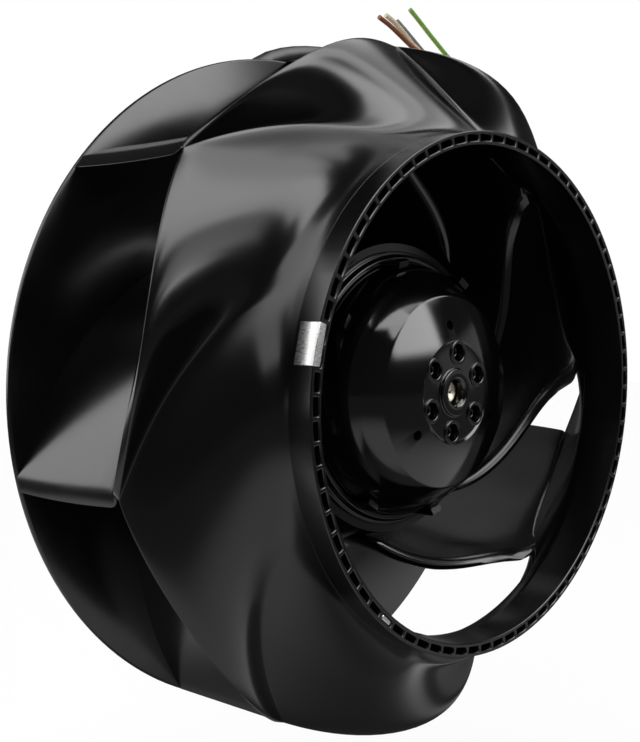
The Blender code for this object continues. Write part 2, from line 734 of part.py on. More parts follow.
def tooth_outline():
    """Outline of the laminations: a yoke with a T-shaped tooth for each coil."""
    points = []
    half_pitch = math.pi / STATOR_TEETH
    slot_mouth = 1.4 * MM / STATOR_RADIUS
    shoe = STATOR_RADIUS - 3.4 * MM
    root = math.asin(TOOTH_WIDTH / 2 / YOKE_RADIUS)
    neck = math.asin(TOOTH_WIDTH / 2 / shoe)
    for angle in ring_of_angles(STATOR_TEETH):
        points.append((YOKE_RADIUS, angle - root))
        points.append((shoe, angle - neck))
        for share in (-1, -0.5, 0, 0.5, 1):
            points.append((STATOR_RADIUS, angle + share * (half_pitch - slot_mouth)))
        points.append((shoe, angle + neck))
        points.append((YOKE_RADIUS, angle + root))
    return [polar(radius, angle, 0) for radius, angle in points]


def add_stator_core(stator):
    """Stack of laminations: a flat outline with a round bore, filled and extruded."""
    curve = bpy.data.curves.new("stator_core", "CURVE")
    curve.dimensions = "2D"
    curve.fill_mode = "BOTH"
    curve.extrude = (STATOR_FRONT - STATOR_BACK) / 2
    bore = [polar(TUBE_OUTER + SEAT_GAP, angle, 0) for angle in ring_of_angles(24)]
    for points in (tooth_outline(), bore):
        spline = curve.splines.new("POLY")
        spline.points.add(len(points) - 1)
        for place, point in zip(spline.points, points):
            place.co = (*point, 1)
        spline.use_cyclic_u = True
    core = add_part("stator_core", curve, stator, "laminations")
    core.location.z = (STATOR_BACK + STATOR_FRONT) / 2
    return core


def add_coils(stator):
    """A coil round each tooth: a rounded frame swept about the tooth's radial line."""
    inner = YOKE_RADIUS + 1.5 * MM
    outer = STATOR_RADIUS - 4.6 * MM
    half_width = TOOTH_WIDTH / 2 + SEAT_GAP
    half_height = (STATOR_FRONT - STATOR_BACK) / 2 + SEAT_GAP
    depths = {inner: 1.9 * MM, outer: 4.6 * MM}
    corner_radii = {True: 0.6 * MM, False: 2.5 * MM}

    def frame_loop(work, distance, depth, inside):
        grow = 0 if inside else depth
        corner = corner_radii[inside]
        wide, tall = half_width + grow, half_height + grow
        points = [
            (wide - corner, tall), (wide, tall - corner), (wide, corner - tall), (wide - corner, -tall),
            (corner - wide, -tall), (-wide, corner - tall), (-wide, tall - corner), (corner - wide, tall),
        ]
        return [work.verts.new((distance, side, height)) for side, height in points]

    def build(work):
        loops = [frame_loop(work, distance, depths[distance], inside)
                 for distance, inside in ((inner, True), (inner, False), (outer, False), (outer, True))]
        skin(work, loops, joined=True)
    mesh = mesh_from("coil", build)
    for number, angle in enumerate(ring_of_angles(STATOR_TEETH)):
        coil = add_part(f"coil_{number + 1}", mesh.copy(), stator, "copper")
        coil.location.z = (STATOR_BACK + STATOR_FRONT) / 2
        coil.rotation_euler.z = angle


def ball_bearing_outline(low):
    """A shielded bearing, drawn solid across its races with the shields set back."""
    high = low + BEARING_WIDTH
    bore = SHAFT_RADIUS + SEAT_GAP
    race_inner, race_outer = 6 * MM, 9 * MM
    slope = 0.1 * MM
    front_shield = high - 0.4 * MM
    rear_shield = low + 0.4 * MM
    return [
        (bore, high), (race_inner, high), (race_inner + slope, front_shield), (race_outer, front_shield),
        (race_outer + slope, high), (BEARING_RADIUS, high), (BEARING_RADIUS, low), (race_outer + slope, low),
        (race_outer, rear_shield), (race_inner + slope, rear_shield), (race_inner, low), (bore, low),
    ]


def add_bearings(stator):
    add_turned("front_bearing", ball_bearing_outline(FRONT_BEARING), stator, "bright_steel", steps=16)
    add_turned("rear_bearing", ball_bearing_outline(REAR_BEARING), stator, "bright_steel", steps=16)


def add_wave_spring(stator):
    """Wavy washer that preloads the rear bearing."""
    middle = REAR_BEARING + BEARING_WIDTH + 1.1 * MM
    wave = 0.5 * MM
    waves = 3
    section = annulus(8 * MM, 10.8 * MM, -0.15 * MM, 0.15 * MM)
    steps = 24

    def build(work):
        rings = []
        for angle in ring_of_angles(steps):
            lift = middle + wave * math.sin(waves * angle)
            rings.append([work.verts.new(polar(radius, angle, lift + side)) for radius, side in section])
        skin(work, rings, joined=True)
    return add_part("wave_spring", mesh_from("wave_spring", build), stator, "bright_steel")


def flange_screw_places():
    angles = ring_of_angles(FLANGE_SCREW_COUNT, FIRST_FLANGE_SCREW_ANGLE)
    return [(FLANGE_SCREW_CIRCLE, angle) for angle in angles]


def add_stator_flange(stator):
    """Cast flange with the bearing tube, closing the electronics housing."""
    low = HOUSING_FRONT + 2 * SEAT_GAP + GASKET_THICKNESS
    seat = REAR_BEARING - SEAT_GAP
    seat_bore = 9.4 * MM
    core_ledge = STATOR_BACK - SEAT_GAP
    edge = 1 * MM
    tube = [
        (TUBE_BORE, TUBE_END), (TUBE_OUTER - edge, TUBE_END), (TUBE_OUTER, TUBE_END - edge),
        (TUBE_OUTER, core_ledge), (17 * MM, core_ledge),
    ]
    plate = [
        (20 * MM, FLANGE_TOP + 4 * MM), (30 * MM, FLANGE_TOP), (HOUSING_RADIUS - edge, FLANGE_TOP),
        (HOUSING_RADIUS, FLANGE_TOP - edge), (HOUSING_RADIUS, low),
    ]
    bore = [(seat_bore, low), (seat_bore, seat), (TUBE_BORE, seat)]
    flange = add_turned("stator_flange", tube + plate + bore, stator, "cast_aluminium", steps=28)
    through = 2 * MM
    holes = cylinders_mesh("flange_screw_holes", flange_screw_places(), FLANGE_SCREW_HOLE_RADIUS,
                           low - through, FLANGE_TOP + through, sides=8)
    use_boolean(flange, add_cutter("flange_screw_holes", holes, stator))
    return flange


def add_flange_screws(stator):
    """Pan-head screws that clamp the flange to the housing."""
    head = in_mm([(0, 1.2), (1.2, 1.2), (1.3, 2.6), (3, 2.3), (3.6, 1.2), (3.6, 0), (2, 0)])
    shank = in_mm([(2, -17), (0, -18)])
    for number, (distance, angle) in enumerate(flange_screw_places()):
        obj = add_turned(f"flange_screw_{number + 1}", head + shank, stator, "bright_steel", steps=8)
        obj.location = polar(distance, angle, FLANGE_TOP + SEAT_GAP)


def add_housing(stator):
    """Electronics housing: a cast cup with cooling fins round it and a flat rear face."""
    edge = 1 * MM
    body = HOUSING_RADIUS - 5 * MM
    inside = body - 6 * MM
    housing = add_turned("electronics_housing", [
        (0, 0), (body - edge, 0), (body, edge), (body, 16 * MM), (HOUSING_RADIUS, 18 * MM),
        (HOUSING_RADIUS, HOUSING_FRONT), (inside, HOUSING_FRONT), (inside, HOUSING_WALL), (0, HOUSING_WALL),
    ], stator, "cast_aluminium", steps=28)
    mount_places = [(MOUNT_HOLE_CIRCLE, angle)
                    for angle in ring_of_angles(MOUNT_HOLE_COUNT, FIRST_MOUNT_HOLE_ANGLE)]
    bosses = cylinders_mesh("mount_bosses", mount_places, MOUNT_BOSS_RADIUS, edge, MOUNT_BOSS_TOP, sides=8)
    use_boolean(housing, add_cutter("mount_bosses", bosses, stator), "UNION")

    def build_fins(work):
        middle = edge + FIN_SIZE[2] / 2
        for angle in ring_of_angles(FIN_COUNT):
            apart = abs((angle - CABLE_ANGLE + math.pi) % FULL_TURN - math.pi)
            if apart > FIN_FREE_ANGLE:
                box_at(work, body + edge, angle, middle, FIN_SIZE)
    use_boolean(housing, add_cutter("cooling_fins", mesh_from("cooling_fins", build_fins), stator), "UNION")
    screw_holes = cylinders_mesh("housing_screw_holes", flange_screw_places(), FLANGE_SCREW_HOLE_RADIUS,
                                 12 * MM, FLANGE_TOP, sides=8)
    use_boolean(housing, add_cutter("housing_screw_holes", screw_holes, stator))
    mount_holes = cylinders_mesh("mount_holes", mount_places, MOUNT_HOLE_RADIUS, -edge, MOUNT_HOLE_DEPTH,
                                 sides=8)
    use_boolean(housing, add_cutter("mount_holes", mount_holes, stator))
    return housing


def add_electronics(stator):
    """Circuit board with its two large capacitors and a power module, inside the housing."""
    board = annulus(12 * MM, 48 * MM, BOARD_BACK, BOARD_FRONT)
    add_turned("circuit_board", board, stator, "circuit_board", steps=24)
    foot = HOUSING_WALL + 2 * SEAT_GAP
    for number, side in enumerate((-1, 1)):
        name = f"capacitor_{number + 1}"
        mesh = cylinders_mesh(name, [(0, 0)], CAPACITOR_RADIUS, foot, BOARD_BACK - SEAT_GAP)
        capacitor = add_part(name, mesh, stator, "capacitor")
        capacitor.location = (20 * MM, side * 12 * MM, 0)
        bevel(capacitor, 0.8 * MM)

    def build(work):
        width, length, height = MODULE_SIZE
        box_at(work, MODULE_PLACE, math.pi, BOARD_FRONT + 2 * SEAT_GAP + height / 2, (width, length, height))
    module = add_part("power_module", mesh_from("power_module", build), stator, "black_plastic")
    bevel(module, 0.6 * MM)


def add_gasket(stator):
    low = HOUSING_FRONT + SEAT_GAP
    gasket = annulus(49.4 * MM, 51.2 * MM, low, low + GASKET_THICKNESS)
    add_turned("housing_gasket", gasket, stator, "rubber", steps=24)


def add_gland(stator):
    """Cable gland screwed into the housing's side: a body and a domed nut, with a bore for the sheath."""
    base = HOUSING_RADIUS + SEAT_GAP
    bore = CABLE_RADIUS - 0.5 * MM
    nose = GLAND_LENGTH - 0.9 * MM
    body = in_mm([(7, 0), (7, 4), (8, 4.6), (8, 8.6), (6.4, 10.6)])
    outline = [(bore, 0)] + body + [(5 * MM, nose), (bore, nose)]
    gland = add_turned("cable_gland", outline, stator, "black_plastic", steps=16)
    outward = Matrix.Rotation(CABLE_ANGLE, 4, "Z") @ Matrix.Rotation(math.pi / 2, 4, "Y")
    gland.matrix_local = Matrix.Translation(polar(base, CABLE_ANGLE, CABLE_HEIGHT)) @ outward
    return gland


def smooth_route(points, spacing):
    """Points read at even distances from a smooth curve through a route's own points."""
    route = [Vector(point) * MM for point in points]
    ends = [2 * route[0] - route[1]] + route + [2 * route[-1] - route[-2]]
    steps = 12
    dense = []
    for index in range(1, len(ends) - 2):
        a, b, c, d = ends[index - 1:index + 3]
        for step in range(steps):
            share = step / steps
            dense.append(0.5 * (2 * b + (c - a) * share + (2 * a - 5 * b + 4 * c - d) * share**2
                                + (3 * b - a - 3 * c + d) * share**3))
    dense.append(route[-1])
    lengths = [0.0]
    for one, two in zip(dense, dense[1:]):
        lengths.append(lengths[-1] + (two - one).length)
    count = round(lengths[-1] / spacing)
    nearly_nothing = 1e-9
    even = []
    for number in range(count + 1):
        wanted = lengths[-1] * number / count
        index = max(place for place, length in enumerate(lengths) if length <= wanted + nearly_nothing)
        if index == len(dense) - 1:
            even.append(dense[-1])
            continue
        share = (wanted - lengths[index]) / (lengths[index + 1] - lengths[index])
        even.append(dense[index].lerp(dense[index + 1], share))
    return even


def add_tube(name, points, radius, look):
    """A cord drawn as a round tube along a route."""
    curve = bpy.data.curves.new(name, "CURVE")
    curve.dimensions = "3D"
    curve.bevel_depth = radius
    curve.bevel_resolution = 2
    curve.use_fill_caps = True
    route = smooth_route(points, 6 * radius)
    spline = curve.splines.new("POLY")
    spline.points.add(len(route) - 1)
    for place, point in zip(spline.points, route):
        place.co = (*point, 1)
    return add_part(name, curve, None, look)


def add_cable():
    add_tube("cable_sheath", SHEATH_ROUTE, CABLE_RADIUS, "cable_black")
    for name, route in LEAD_ROUTES.items():
        add_tube(name, route, LEAD_RADIUS, name)


def main():
    for obj in list(bpy.data.objects):
        bpy.data.objects.remove(obj, do_unlink=True)
    make_collection(COLLECTION)
    make_collection(CUTTER_COLLECTION)
    rotor = make_frame("rotor_axis")
    stator = make_frame("stator_axis")

    add_shroud(rotor)
    add_inlet_ring(rotor)
    add_rear_disc(rotor)
    for number in range(BLADE_COUNT):
        add_blade(rotor, number)
    add_balance_clip(rotor)
    add_balance_weight(rotor)
    add_rotor_shell(rotor)
    add_clamp_ring(rotor)
    add_hub_screws(rotor)
    add_shaft_and_magnets(rotor)
    add_circlip(rotor)

    add_housing(stator)
    add_gasket(stator)
    add_stator_flange(stator)
    add_flange_screws(stator)
    add_bearings(stator)
    add_wave_spring(stator)
    add_stator_core(stator)
    add_coils(stator)
    add_electronics(stator)
    add_gland(stator)
    add_cable()


main()
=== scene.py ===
"""Looks of the plug fan: camera, studio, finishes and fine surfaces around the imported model.

Shapes are drawn in the fan's own frame: local Z runs from the motor's rear face towards the inlet, and
angles run from +X towards +Z. A height is a distance along local Z. Lengths are in metres.
"""

import math

import bmesh
import bpy
from mathutils import Matrix, Vector


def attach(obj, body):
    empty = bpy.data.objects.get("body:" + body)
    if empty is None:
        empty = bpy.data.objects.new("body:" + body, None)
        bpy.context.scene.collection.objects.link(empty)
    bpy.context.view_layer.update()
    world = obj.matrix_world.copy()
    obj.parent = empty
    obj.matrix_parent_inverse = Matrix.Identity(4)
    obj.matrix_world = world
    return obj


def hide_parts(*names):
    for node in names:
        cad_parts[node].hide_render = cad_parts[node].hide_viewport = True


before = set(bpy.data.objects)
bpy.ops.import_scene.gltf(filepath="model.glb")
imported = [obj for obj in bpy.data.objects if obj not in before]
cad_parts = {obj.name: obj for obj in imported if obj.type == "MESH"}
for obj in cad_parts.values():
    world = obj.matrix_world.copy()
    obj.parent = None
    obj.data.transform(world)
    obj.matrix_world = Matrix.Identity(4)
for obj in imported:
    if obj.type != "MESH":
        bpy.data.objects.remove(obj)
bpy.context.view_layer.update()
bpy.context.scene.view_settings.view_transform = "Standard"

MM = 0.001
FULL_TURN = 2 * math.pi
FAN_FRAME = Matrix.Rotation(math.pi / 2, 4, "X")
SEAT = 0.3 * MM

# Camera of the photograph
CAMERA_PLACE = (-0.3058, -0.3485, 0.0323)
CAMERA_YAW = math.radians(45.25)
CAMERA_PITCH = math.radians(-3.70)
CAMERA_LENS = 53.83

# Studio. A panel is given by its sides and its heights, in degrees, and its brightness. Sides are counted
# from the camera's own side of the fan, round to the right
STUDIO_TURN = math.radians(135)
STUDIO_ROOM = 0.05
STUDIO_PANELS = {
    "right": ((54, 86), (12.5, 58), 6.4),
    "right_upper": ((84, 110), (30, 66), 4.0),
    "right_far": ((106, 156), (37, 76), 2.0),
    "right_low": ((87, 135), (-26, 14), 0.4),
    "overhead": ((-17, 58), (52, 79), 5.3),
    "overhead_right": ((54, 115), (60, 79), 3.4),
    "front": ((20, 57), (43, 56), 4.9),
    "front_low": ((42, 56), (18, 46), 2.0),
    "left": ((-106, -16), (31, 65), 2.6),
    "left_low": ((-69, -42), (13, 33), 1.7),
    "back_left": ((-122, -80), (-4, 32), 2.8),
}
PANEL_SOFTNESS = math.radians(2.5)
WORLD_LIGHT = 0.45
KEY_PLACE = (-0.9, -0.7, 1.2)
KEY_SIZE = (0.9, 0.9)
KEY_POWER = 14

# Floor, and what gloss shows of it: a table top that the fan shades round one point and that ends far out.
# Each circle has a centre, a reach, the softness of its edge, and its share of brightness inside and outside
FLOOR_HEIGHT = -0.24
FLOOR_HALF = 3.0
FLOOR_PAINT = (0.86, 0.86, 0.86, 1)
FLOOR_GLOW = 0.86
FLOOR_WHITE = 1.06
TABLE_BRIGHTNESS = 0.8
TABLE_CIRCLES = [
    ((0.1, 0.03), 0.25, 0.07, 0.15, 1),
    ((0, 0), 0.6, 0.2, 1, 0.15),
]

# Impeller
WHEEL_RADIUS = 125 * MM
BLADE_COUNT = 7
FIRST_BLADE_ANGLE = math.radians(90)
BLADE_PITCH = FULL_TURN / BLADE_COUNT
BLADE_SLOPE_AT_DISC = 0.62
BLADE_SLOPE_AT_SHROUD = 0.534
BLADE_TWIST = math.radians(0.6)
DISC_FRONT = 29.3 * MM
DISC_WALL = 2.5 * MM
SHROUD_WALL = 2.4 * MM
SHROUD_RADIUS = 123.1 * MM
COLLAR_RADIUS = 87.7 * MM
COLLAR_FOOT = 110.5 * MM

# Outline of the shroud along a blade and along the crown of a petal: Bezier handles as (radius, height). The
# valley between two petals is sharp at the rim and softens towards the ring
VALLEY_HANDLES = [
    (SHROUD_RADIUS, 82.3 * MM), (117.5 * MM, 86.5 * MM), (99.9 * MM, 87.7 * MM),
    (COLLAR_RADIUS, COLLAR_FOOT),
]
PETAL_HANDLES = [
    (123.2 * MM, 96 * MM), (119.5 * MM, 98.6 * MM), (109 * MM, 95.6 * MM), (COLLAR_RADIUS, COLLAR_FOOT),
]
PETAL_SKEW = 1.18
PETAL_FULLNESS = 0.93
VALLEY_SOFTNESS_AT_RIM = 0.02
VALLEY_SOFTNESS_AT_RING = 0.24
VALLEY_SOFTENING = 1.5
PETAL_STEPS = 32
SHROUD_STEPS = 22

# Fillet that carries the shroud up the inlet ring's wall and tucks its edge into it
FILLET_START = 0.7
FILLET_LEAD = 0.02
FILLET_TOP = 119.6 * MM
FILLET_RADIUS = COLLAR_RADIUS + 0.05 * MM
FILLET_STEPS = 10
TUCK_DEPTH = 1.2 * MM
TUCK_RISE = 0.4 * MM

# Blades: the handles of the leading edge, and the thickness at a few radii, in millimetres. Sections lie
# closer together towards the inner end, by the crowding's power
LEADING_EDGE_HANDLES = [(88.5 * MM, 107 * MM), (84 * MM, 86 * MM), (68 * MM, 96 * MM), (54 * MM, 82 * MM)]
BLADE_INNER_RADIUS = 56 * MM
BLADE_THICKNESS = [(56, 4.4), (62, 5.6), (72, 5.8), (84, 4.4), (125, 2.8)]
BLADE_ROOT = 0.5 * MM
BLADE_STEPS = 34
BLADE_CROWDING = 0.9
BLADE_ROWS = 9
NOSE_STEPS = 6
NOSE_DEPTH = 3.2 * MM

# Rear disc and its hub bell
DISC_EDGE = 0.7 * MM
DISC_RIM_STEPS = 8
DISC_FLAT_END = 88 * MM
BELL_FOOT_RADIUS = 80 * MM
BELL_TOP_RADIUS = 52.5 * MM
BELL_TOP = 84 * MM
BELL_POWER = 2.2
BELL_STEPS = 24
BELL_LIP = 4 * MM

# Inlet ring and its balancing pockets
RING_INNER = 83.2 * MM
RING_FRONT = 128.5 * MM
RING_BACK = COLLAR_FOOT
POCKET_COUNT = 77
POCKET_DEPTH = 8 * MM
POCKET_WALL = 1.2 * MM
POCKET_RIB = 1.3 * MM
FIRST_POCKET_ANGLE = math.radians(1.0)
RING_WALL_STEPS = 6
RING_FLARE = 4 * MM
CLIP_POCKET = 35
CLIP_SPAN = 1.75
CLIP_SHEET = 0.5 * MM
WEIGHT_POCKET = 49
WEIGHT_SIZE = (1.5 * MM, 4.6 * MM, 6 * MM)
WEIGHT_DEPTH = 3.2 * MM

# Rotor
ROTOR_RADIUS = 45.5 * MM
ROTOR_BACK = 38 * MM
ROTOR_WALL = 2.6 * MM
HUB_SCREW_COUNT = 6
HUB_SCREW_CIRCLE = 13.9 * MM
FIRST_HUB_SCREW_ANGLE = math.radians(84)
HUB_HOLE_RADIUS = 3.1 * MM
PLAIN_HOLE_COUNT = 3
PLAIN_HOLE_CIRCLE = 23.5 * MM
PLAIN_HOLE_RADIUS = 1.7 * MM
FIRST_PLAIN_HOLE_ANGLE = math.radians(95)

# Clamp ring and its catches
CLAMP_RADIUS = 49.6 * MM
CLAMP_STEP = 1.2 * MM
CLAMP_RISE = 3.4 * MM
CATCH_COUNT = 8
FIRST_CATCH_ANGLE = math.radians(12)
CATCH_WIDTH = 5 * MM
CATCH_TOP = 96.4 * MM

# Cable: each route is in millimetres, from the gland or from the sheath's end
CABLE_RADIUS = 3.5 * MM
CABLE_SIDES = 24
LEAD_RADIUS = 1.05 * MM
LEAD_SIDES = 16
ROUTE_STEPS = 12
EARTH_STRIPE_SIDES = (2, 3, 4, 10, 11, 12)
SHEATH_ROUTE = [
    (-16.4, -14, 71.1), (-18.2, -14.2, 79), (-19.4, -14.8, 88), (-20, -15.8, 97.6), (-19.2, -17, 106.4),
    (-16.4, -18, 114.6), (-10.9, -18.5, 121.6), (-3, -18.5, 126.6), (6.6, -18.5, 130), (17, -18.5, 132.2),
    (28, -18.5, 133.5), (40, -18.5, 133.9), (51, -18.5, 133.5), (62, -18.5, 132.4),
]
LEAD_ROUTES = {
    "lead_brown": [
        (62.5, -19.8, 133.6), (71, -20.2, 132.4), (80, -20.9, 131), (90, -21.2, 130), (99.4, -21.2, 130.6),
        (106.4, -21.2, 133.8), (108.2, -21.2, 138.6), (104, -21.2, 142.2), (97, -21.2, 143.2),
        (89.4, -21.2, 143.6), (82, -21.2, 145.9), (74.8, -21.2, 149.2), (67.8, -21.2, 152.3),
        (60.8, -21.2, 154.6),
    ],
    "lead_grey": [
        (62.3, -17.2, 131), (72, -17, 129.2), (82, -16.4, 127.6), (92, -16, 126.8), (102.6, -16, 127.8),
        (111, -16, 131.4), (114, -16, 136.8), (111, -16, 141), (104.6, -16, 143.2), (98.6, -16, 145.4),
        (94.2, -16, 147.9), (89.9, -16, 150.4), (84.4, -16, 153.7), (78.7, -16, 156.9),
    ],
    "lead_cream": [
        (62.3, -19.8, 131), (71, -19.4, 129.8), (80, -18.9, 128.4), (90, -18.6, 127.6),
        (100.2, -18.6, 128.4), (108.4, -18.6, 132), (111, -18.6, 137.4), (107.4, -18.6, 141.4),
        (100, -18.6, 143), (93.2, -18.6, 144.6), (87.2, -18.6, 147.2), (81, -18.6, 151.1),
        (75, -18.6, 154.6), (68.3, -18.6, 157.2),
    ],
    "lead_earth": [
        (62.5, -17.2, 133.6), (72, -15.4, 135.4), (83, -14.4, 136.2), (95, -14, 135), (106, -13.6, 131.6),
        (116, -13.6, 130.4), (124.4, -13.8, 132.6), (128, -13.8, 137.6), (125.8, -14.6, 142.2),
        (120.8, -15, 145), (115.4, -15, 147.7), (108.6, -15, 151.8), (101.6, -15, 156.1), (95, -15, 160.3),
        (88.9, -15, 164),
    ],
}
LEAD_SLOTS = {
    "lead_brown": "insulation_brown",
    "lead_grey": "insulation_grey",
    "lead_cream": "insulation_cream",
    "lead_earth": "insulation_green_yellow",
}


# Shape helpers

def polar(radius, angle, height):
    return Vector((radius * math.cos(angle), radius * math.sin(angle), height))


def ring_of_angles(count, first=0.0):
    return [first + FULL_TURN * index / count for index in range(count)]


def in_mm(points):
    return [(radius * MM, height * MM) for radius, height in points]


def bezier(handles, share):
    rest = 1 - share
    weights = (rest**3, 3 * rest**2 * share, 3 * rest * share**2, share**3)
    return [sum(weight * handle[axis] for weight, handle in zip(weights, handles)) for axis in (0, 1)]


def between(table, at):
    """Value at a place, read from rows of (place, value), on a straight line between two rows."""
    if at <= table[0][0]:
        return table[0][1]
    for (place, value), (next_place, next_value) in zip(table, table[1:]):
        if at <= next_place:
            return value + (next_value - value) * (at - place) / (next_place - place)
    return table[-1][1]


def mesh_from(name, build):
    mesh = bpy.data.meshes.new(name)
    work = bmesh.new()
    build(work)
    bmesh.ops.recalc_face_normals(work, faces=work.faces)
    work.to_mesh(mesh)
    work.free()
    return mesh


def skin(work, rings, joined=False, open_rings=False):
    """Faces between each two rings that follow each other, and from the last to the first if joined."""
    following = rings[1:] + rings[:1] if joined else rings[1:]
    for one, two in zip(rings, following):
        count = len(one)
        for index in range(count - 1 if open_rings else count):
            after = (index + 1) % count
            work.faces.new((one[index], one[after], two[after], two[index]))


def loft(work, sections):
    """A closed body through sections with equal numbers of points."""
    rings = [[work.verts.new(point) for point in section] for section in sections]
    skin(work, rings)
    work.faces.new(rings[0])
    work.faces.new(rings[-1])


def rounded(points, radius, steps=4, closed=True):
    """An outline whose corners are rounded off, as far as its sides allow."""
    result = []
    count = len(points)
    for index, point in enumerate(points):
        if not closed and index in (0, count - 1):
            result.append(point)
            continue
        corner = Vector(point)
        before = Vector(points[index - 1]) - corner
        after = Vector(points[(index + 1) % count]) - corner
        reach = min(radius, before.length * 0.45, after.length * 0.45)
        start = corner + before.normalized() * reach
        end = corner + after.normalized() * reach
        for step in range(steps + 1):
            share = step / steps
            mixed = start * (1 - share)**2 + corner * 2 * share * (1 - share) + end * share**2
            result.append((mixed.x, mixed.y))
    return result


def turned_mesh(name, outline, steps, closed=True):
    """Mesh of a turned shape. An open outline starts and ends on the axis."""
    def build(work):
        rings = []
        for angle in ring_of_angles(steps):
            rings.append([work.verts.new(polar(radius, angle, height)) for radius, height in outline])
        skin(work, rings, joined=True, open_rings=not closed)
        bmesh.ops.remove_doubles(work, verts=work.verts, dist=1e-7)
    return mesh_from(name, build)


def cylinders_mesh(name, places, radius, low, high, sides=32):
    def build(work):
        for distance, angle in places:
            bmesh.ops.create_cone(
                work, cap_ends=True, segments=sides, radius1=radius, radius2=radius,
                depth=high - low, matrix=Matrix.Translation(polar(distance, angle, (low + high) / 2)),
            )
    return mesh_from(name, build)


def box_at(work, radius, angle, height, size):
    turn = Matrix.Rotation(angle, 4, "Z")
    place = Matrix.Translation(polar(radius, angle, height))
    bmesh.ops.create_cube(work, size=1, matrix=place @ turn @ Matrix.Diagonal((*size, 1)))


def bar_at(work, angle, outline, width):
    """A straight bar with this outline of (radius, height) at an angle, as wide as told."""
    sideways = polar(1, angle + math.pi / 2, 0)
    ends = [[polar(radius, angle, height) + side * width / 2 * sideways for radius, height in outline]
            for side in (-1, 1)]
    loft(work, ends)


def settle(obj):
    """Makes an object's modifiers part of its mesh."""
    graph = bpy.context.evaluated_depsgraph_get()
    mesh = bpy.data.meshes.new_from_object(obj.evaluated_get(graph))
    obj.modifiers.clear()
    obj.data = mesh


def bevel(obj, width, segments=3, angle=40):
    modifier = obj.modifiers.new("edge", "BEVEL")
    modifier.width = width
    modifier.segments = segments
    modifier.limit_method = "ANGLE"
    modifier.angle_limit = math.radians(angle)
    modifier.use_clamp_overlap = True


def cut(obj, tool_mesh, operation="DIFFERENCE"):
    """Cuts a tool's mesh out of an object, or joins it on, for good."""
    tool = bpy.data.objects.new("tool", tool_mesh)
    bpy.context.scene.collection.objects.link(tool)
    tool.matrix_world = FAN_FRAME
    modifier = obj.modifiers.new("cut", "BOOLEAN")
    modifier.operation = operation
    modifier.object = tool
    bpy.context.view_layer.update()
    settle(obj)
    bpy.data.objects.remove(tool, do_unlink=True)


def shade(obj, smooth_angle=40):
    obj.data.shade_smooth()
    obj.data.set_sharp_from_angle(angle=math.radians(smooth_angle))


def add_piece(name, mesh, material):
    """A new piece in the fan's frame, not yet tied to a body."""
    mesh.materials.append(material)
    obj = bpy.data.objects.new(name, mesh)
    bpy.context.scene.collection.objects.link(obj)
    obj.matrix_world = FAN_FRAME
    bpy.context.view_layer.update()
    return obj


def tie(obj, body, slot, *nodes):
    """Puts a piece on its body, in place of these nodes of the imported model."""
    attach(obj, body)
    if nodes:
        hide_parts(*nodes)


# Finishes

def new_material(name):
    material = bpy.data.materials.new(name)
    material.use_nodes = True
    return material, material.node_tree, material.node_tree.nodes["Principled BSDF"]


def add_node(tree, kind, **values):
    node = tree.nodes.new(kind)
    for key, value in values.items():
        setattr(node, key, value)
    return node


def object_coordinates(tree, stretch=(1, 1, 1)):
    place = add_node(tree, "ShaderNodeTexCoord")
    mapping = add_node(tree, "ShaderNodeMapping")
    mapping.inputs["Scale"].default_value = stretch
    tree.links.new(place.outputs["Object"], mapping.inputs["Vector"])
    return mapping.outputs["Vector"]


def noise(tree, vector, scale, detail=3, distortion=0.0):
    node = add_node(tree, "ShaderNodeTexNoise")
    node.inputs["Scale"].default_value = scale
    node.inputs["Detail"].default_value = detail
    node.inputs["Distortion"].default_value = distortion
    tree.links.new(vector, node.inputs["Vector"])
    return node.outputs["Fac"]


def ranged(tree, value, low, high, from_low=0.3, from_high=0.7):
    """Maps a texture's value to a range."""
    node = add_node(tree, "ShaderNodeMapRange")
    node.inputs["From Min"].default_value = from_low
    node.inputs["From Max"].default_value = from_high
    node.inputs["To Min"].default_value = low
    node.inputs["To Max"].default_value = high
    tree.links.new(value, node.inputs["Value"])
    return node.outputs["Result"]


def blended(tree, value, one, two):
    """A colour between two, by a texture's value."""
    node = add_node(tree, "ShaderNodeMix", data_type="RGBA")
    node.inputs["A"].default_value = (*one, 1)
    node.inputs["B"].default_value = (*two, 1)
    tree.links.new(value, node.inputs["Factor"])
    return node.outputs["Result"]


def bumped(tree, shader, heights, distance, strength=1.0):
    node = add_node(tree, "ShaderNodeBump")
    node.inputs["Strength"].default_value = strength
    node.inputs["Distance"].default_value = distance
    tree.links.new(heights, node.inputs["Height"])
    tree.links.new(node.outputs["Normal"], shader.inputs["Normal"])


def moulded_plastic():
    """Black glass-filled moulding: glossy skin with faint flow marks and a fine fibre grain."""
    material, tree, shader = new_material("moulded_plastic")
    vector = object_coordinates(tree)
    flow = noise(tree, vector, 26, detail=4, distortion=0.8)
    grain = noise(tree, vector, 2600, detail=1)
    black = blended(tree, flow, (0.0016, 0.0016, 0.0018), (0.0032, 0.0032, 0.0034))
    tree.links.new(black, shader.inputs["Base Color"])
    tree.links.new(ranged(tree, flow, 0.16, 0.23), shader.inputs["Roughness"])
    bumped(tree, shader, grain, 0.02 * MM, 0.12)
    return material


def coated_steel():
    """Glossy black coating on drawn steel, with a slight orange peel."""
    material, tree, shader = new_material("coated_steel")
    vector = object_coordinates(tree)
    peel = noise(tree, vector, 900, detail=2)
    cloud = noise(tree, vector, 40, detail=3)
    black = blended(tree, cloud, (0.0016, 0.0016, 0.0018), (0.0030, 0.0030, 0.0033))
    tree.links.new(black, shader.inputs["Base Color"])
    tree.links.new(ranged(tree, cloud, 0.08, 0.13), shader.inputs["Roughness"])
    bumped(tree, shader, peel, 0.03 * MM, 0.15)
    shader.inputs["Coat Weight"].default_value = 0.15
    shader.inputs["Coat Roughness"].default_value = 0.08
    return material


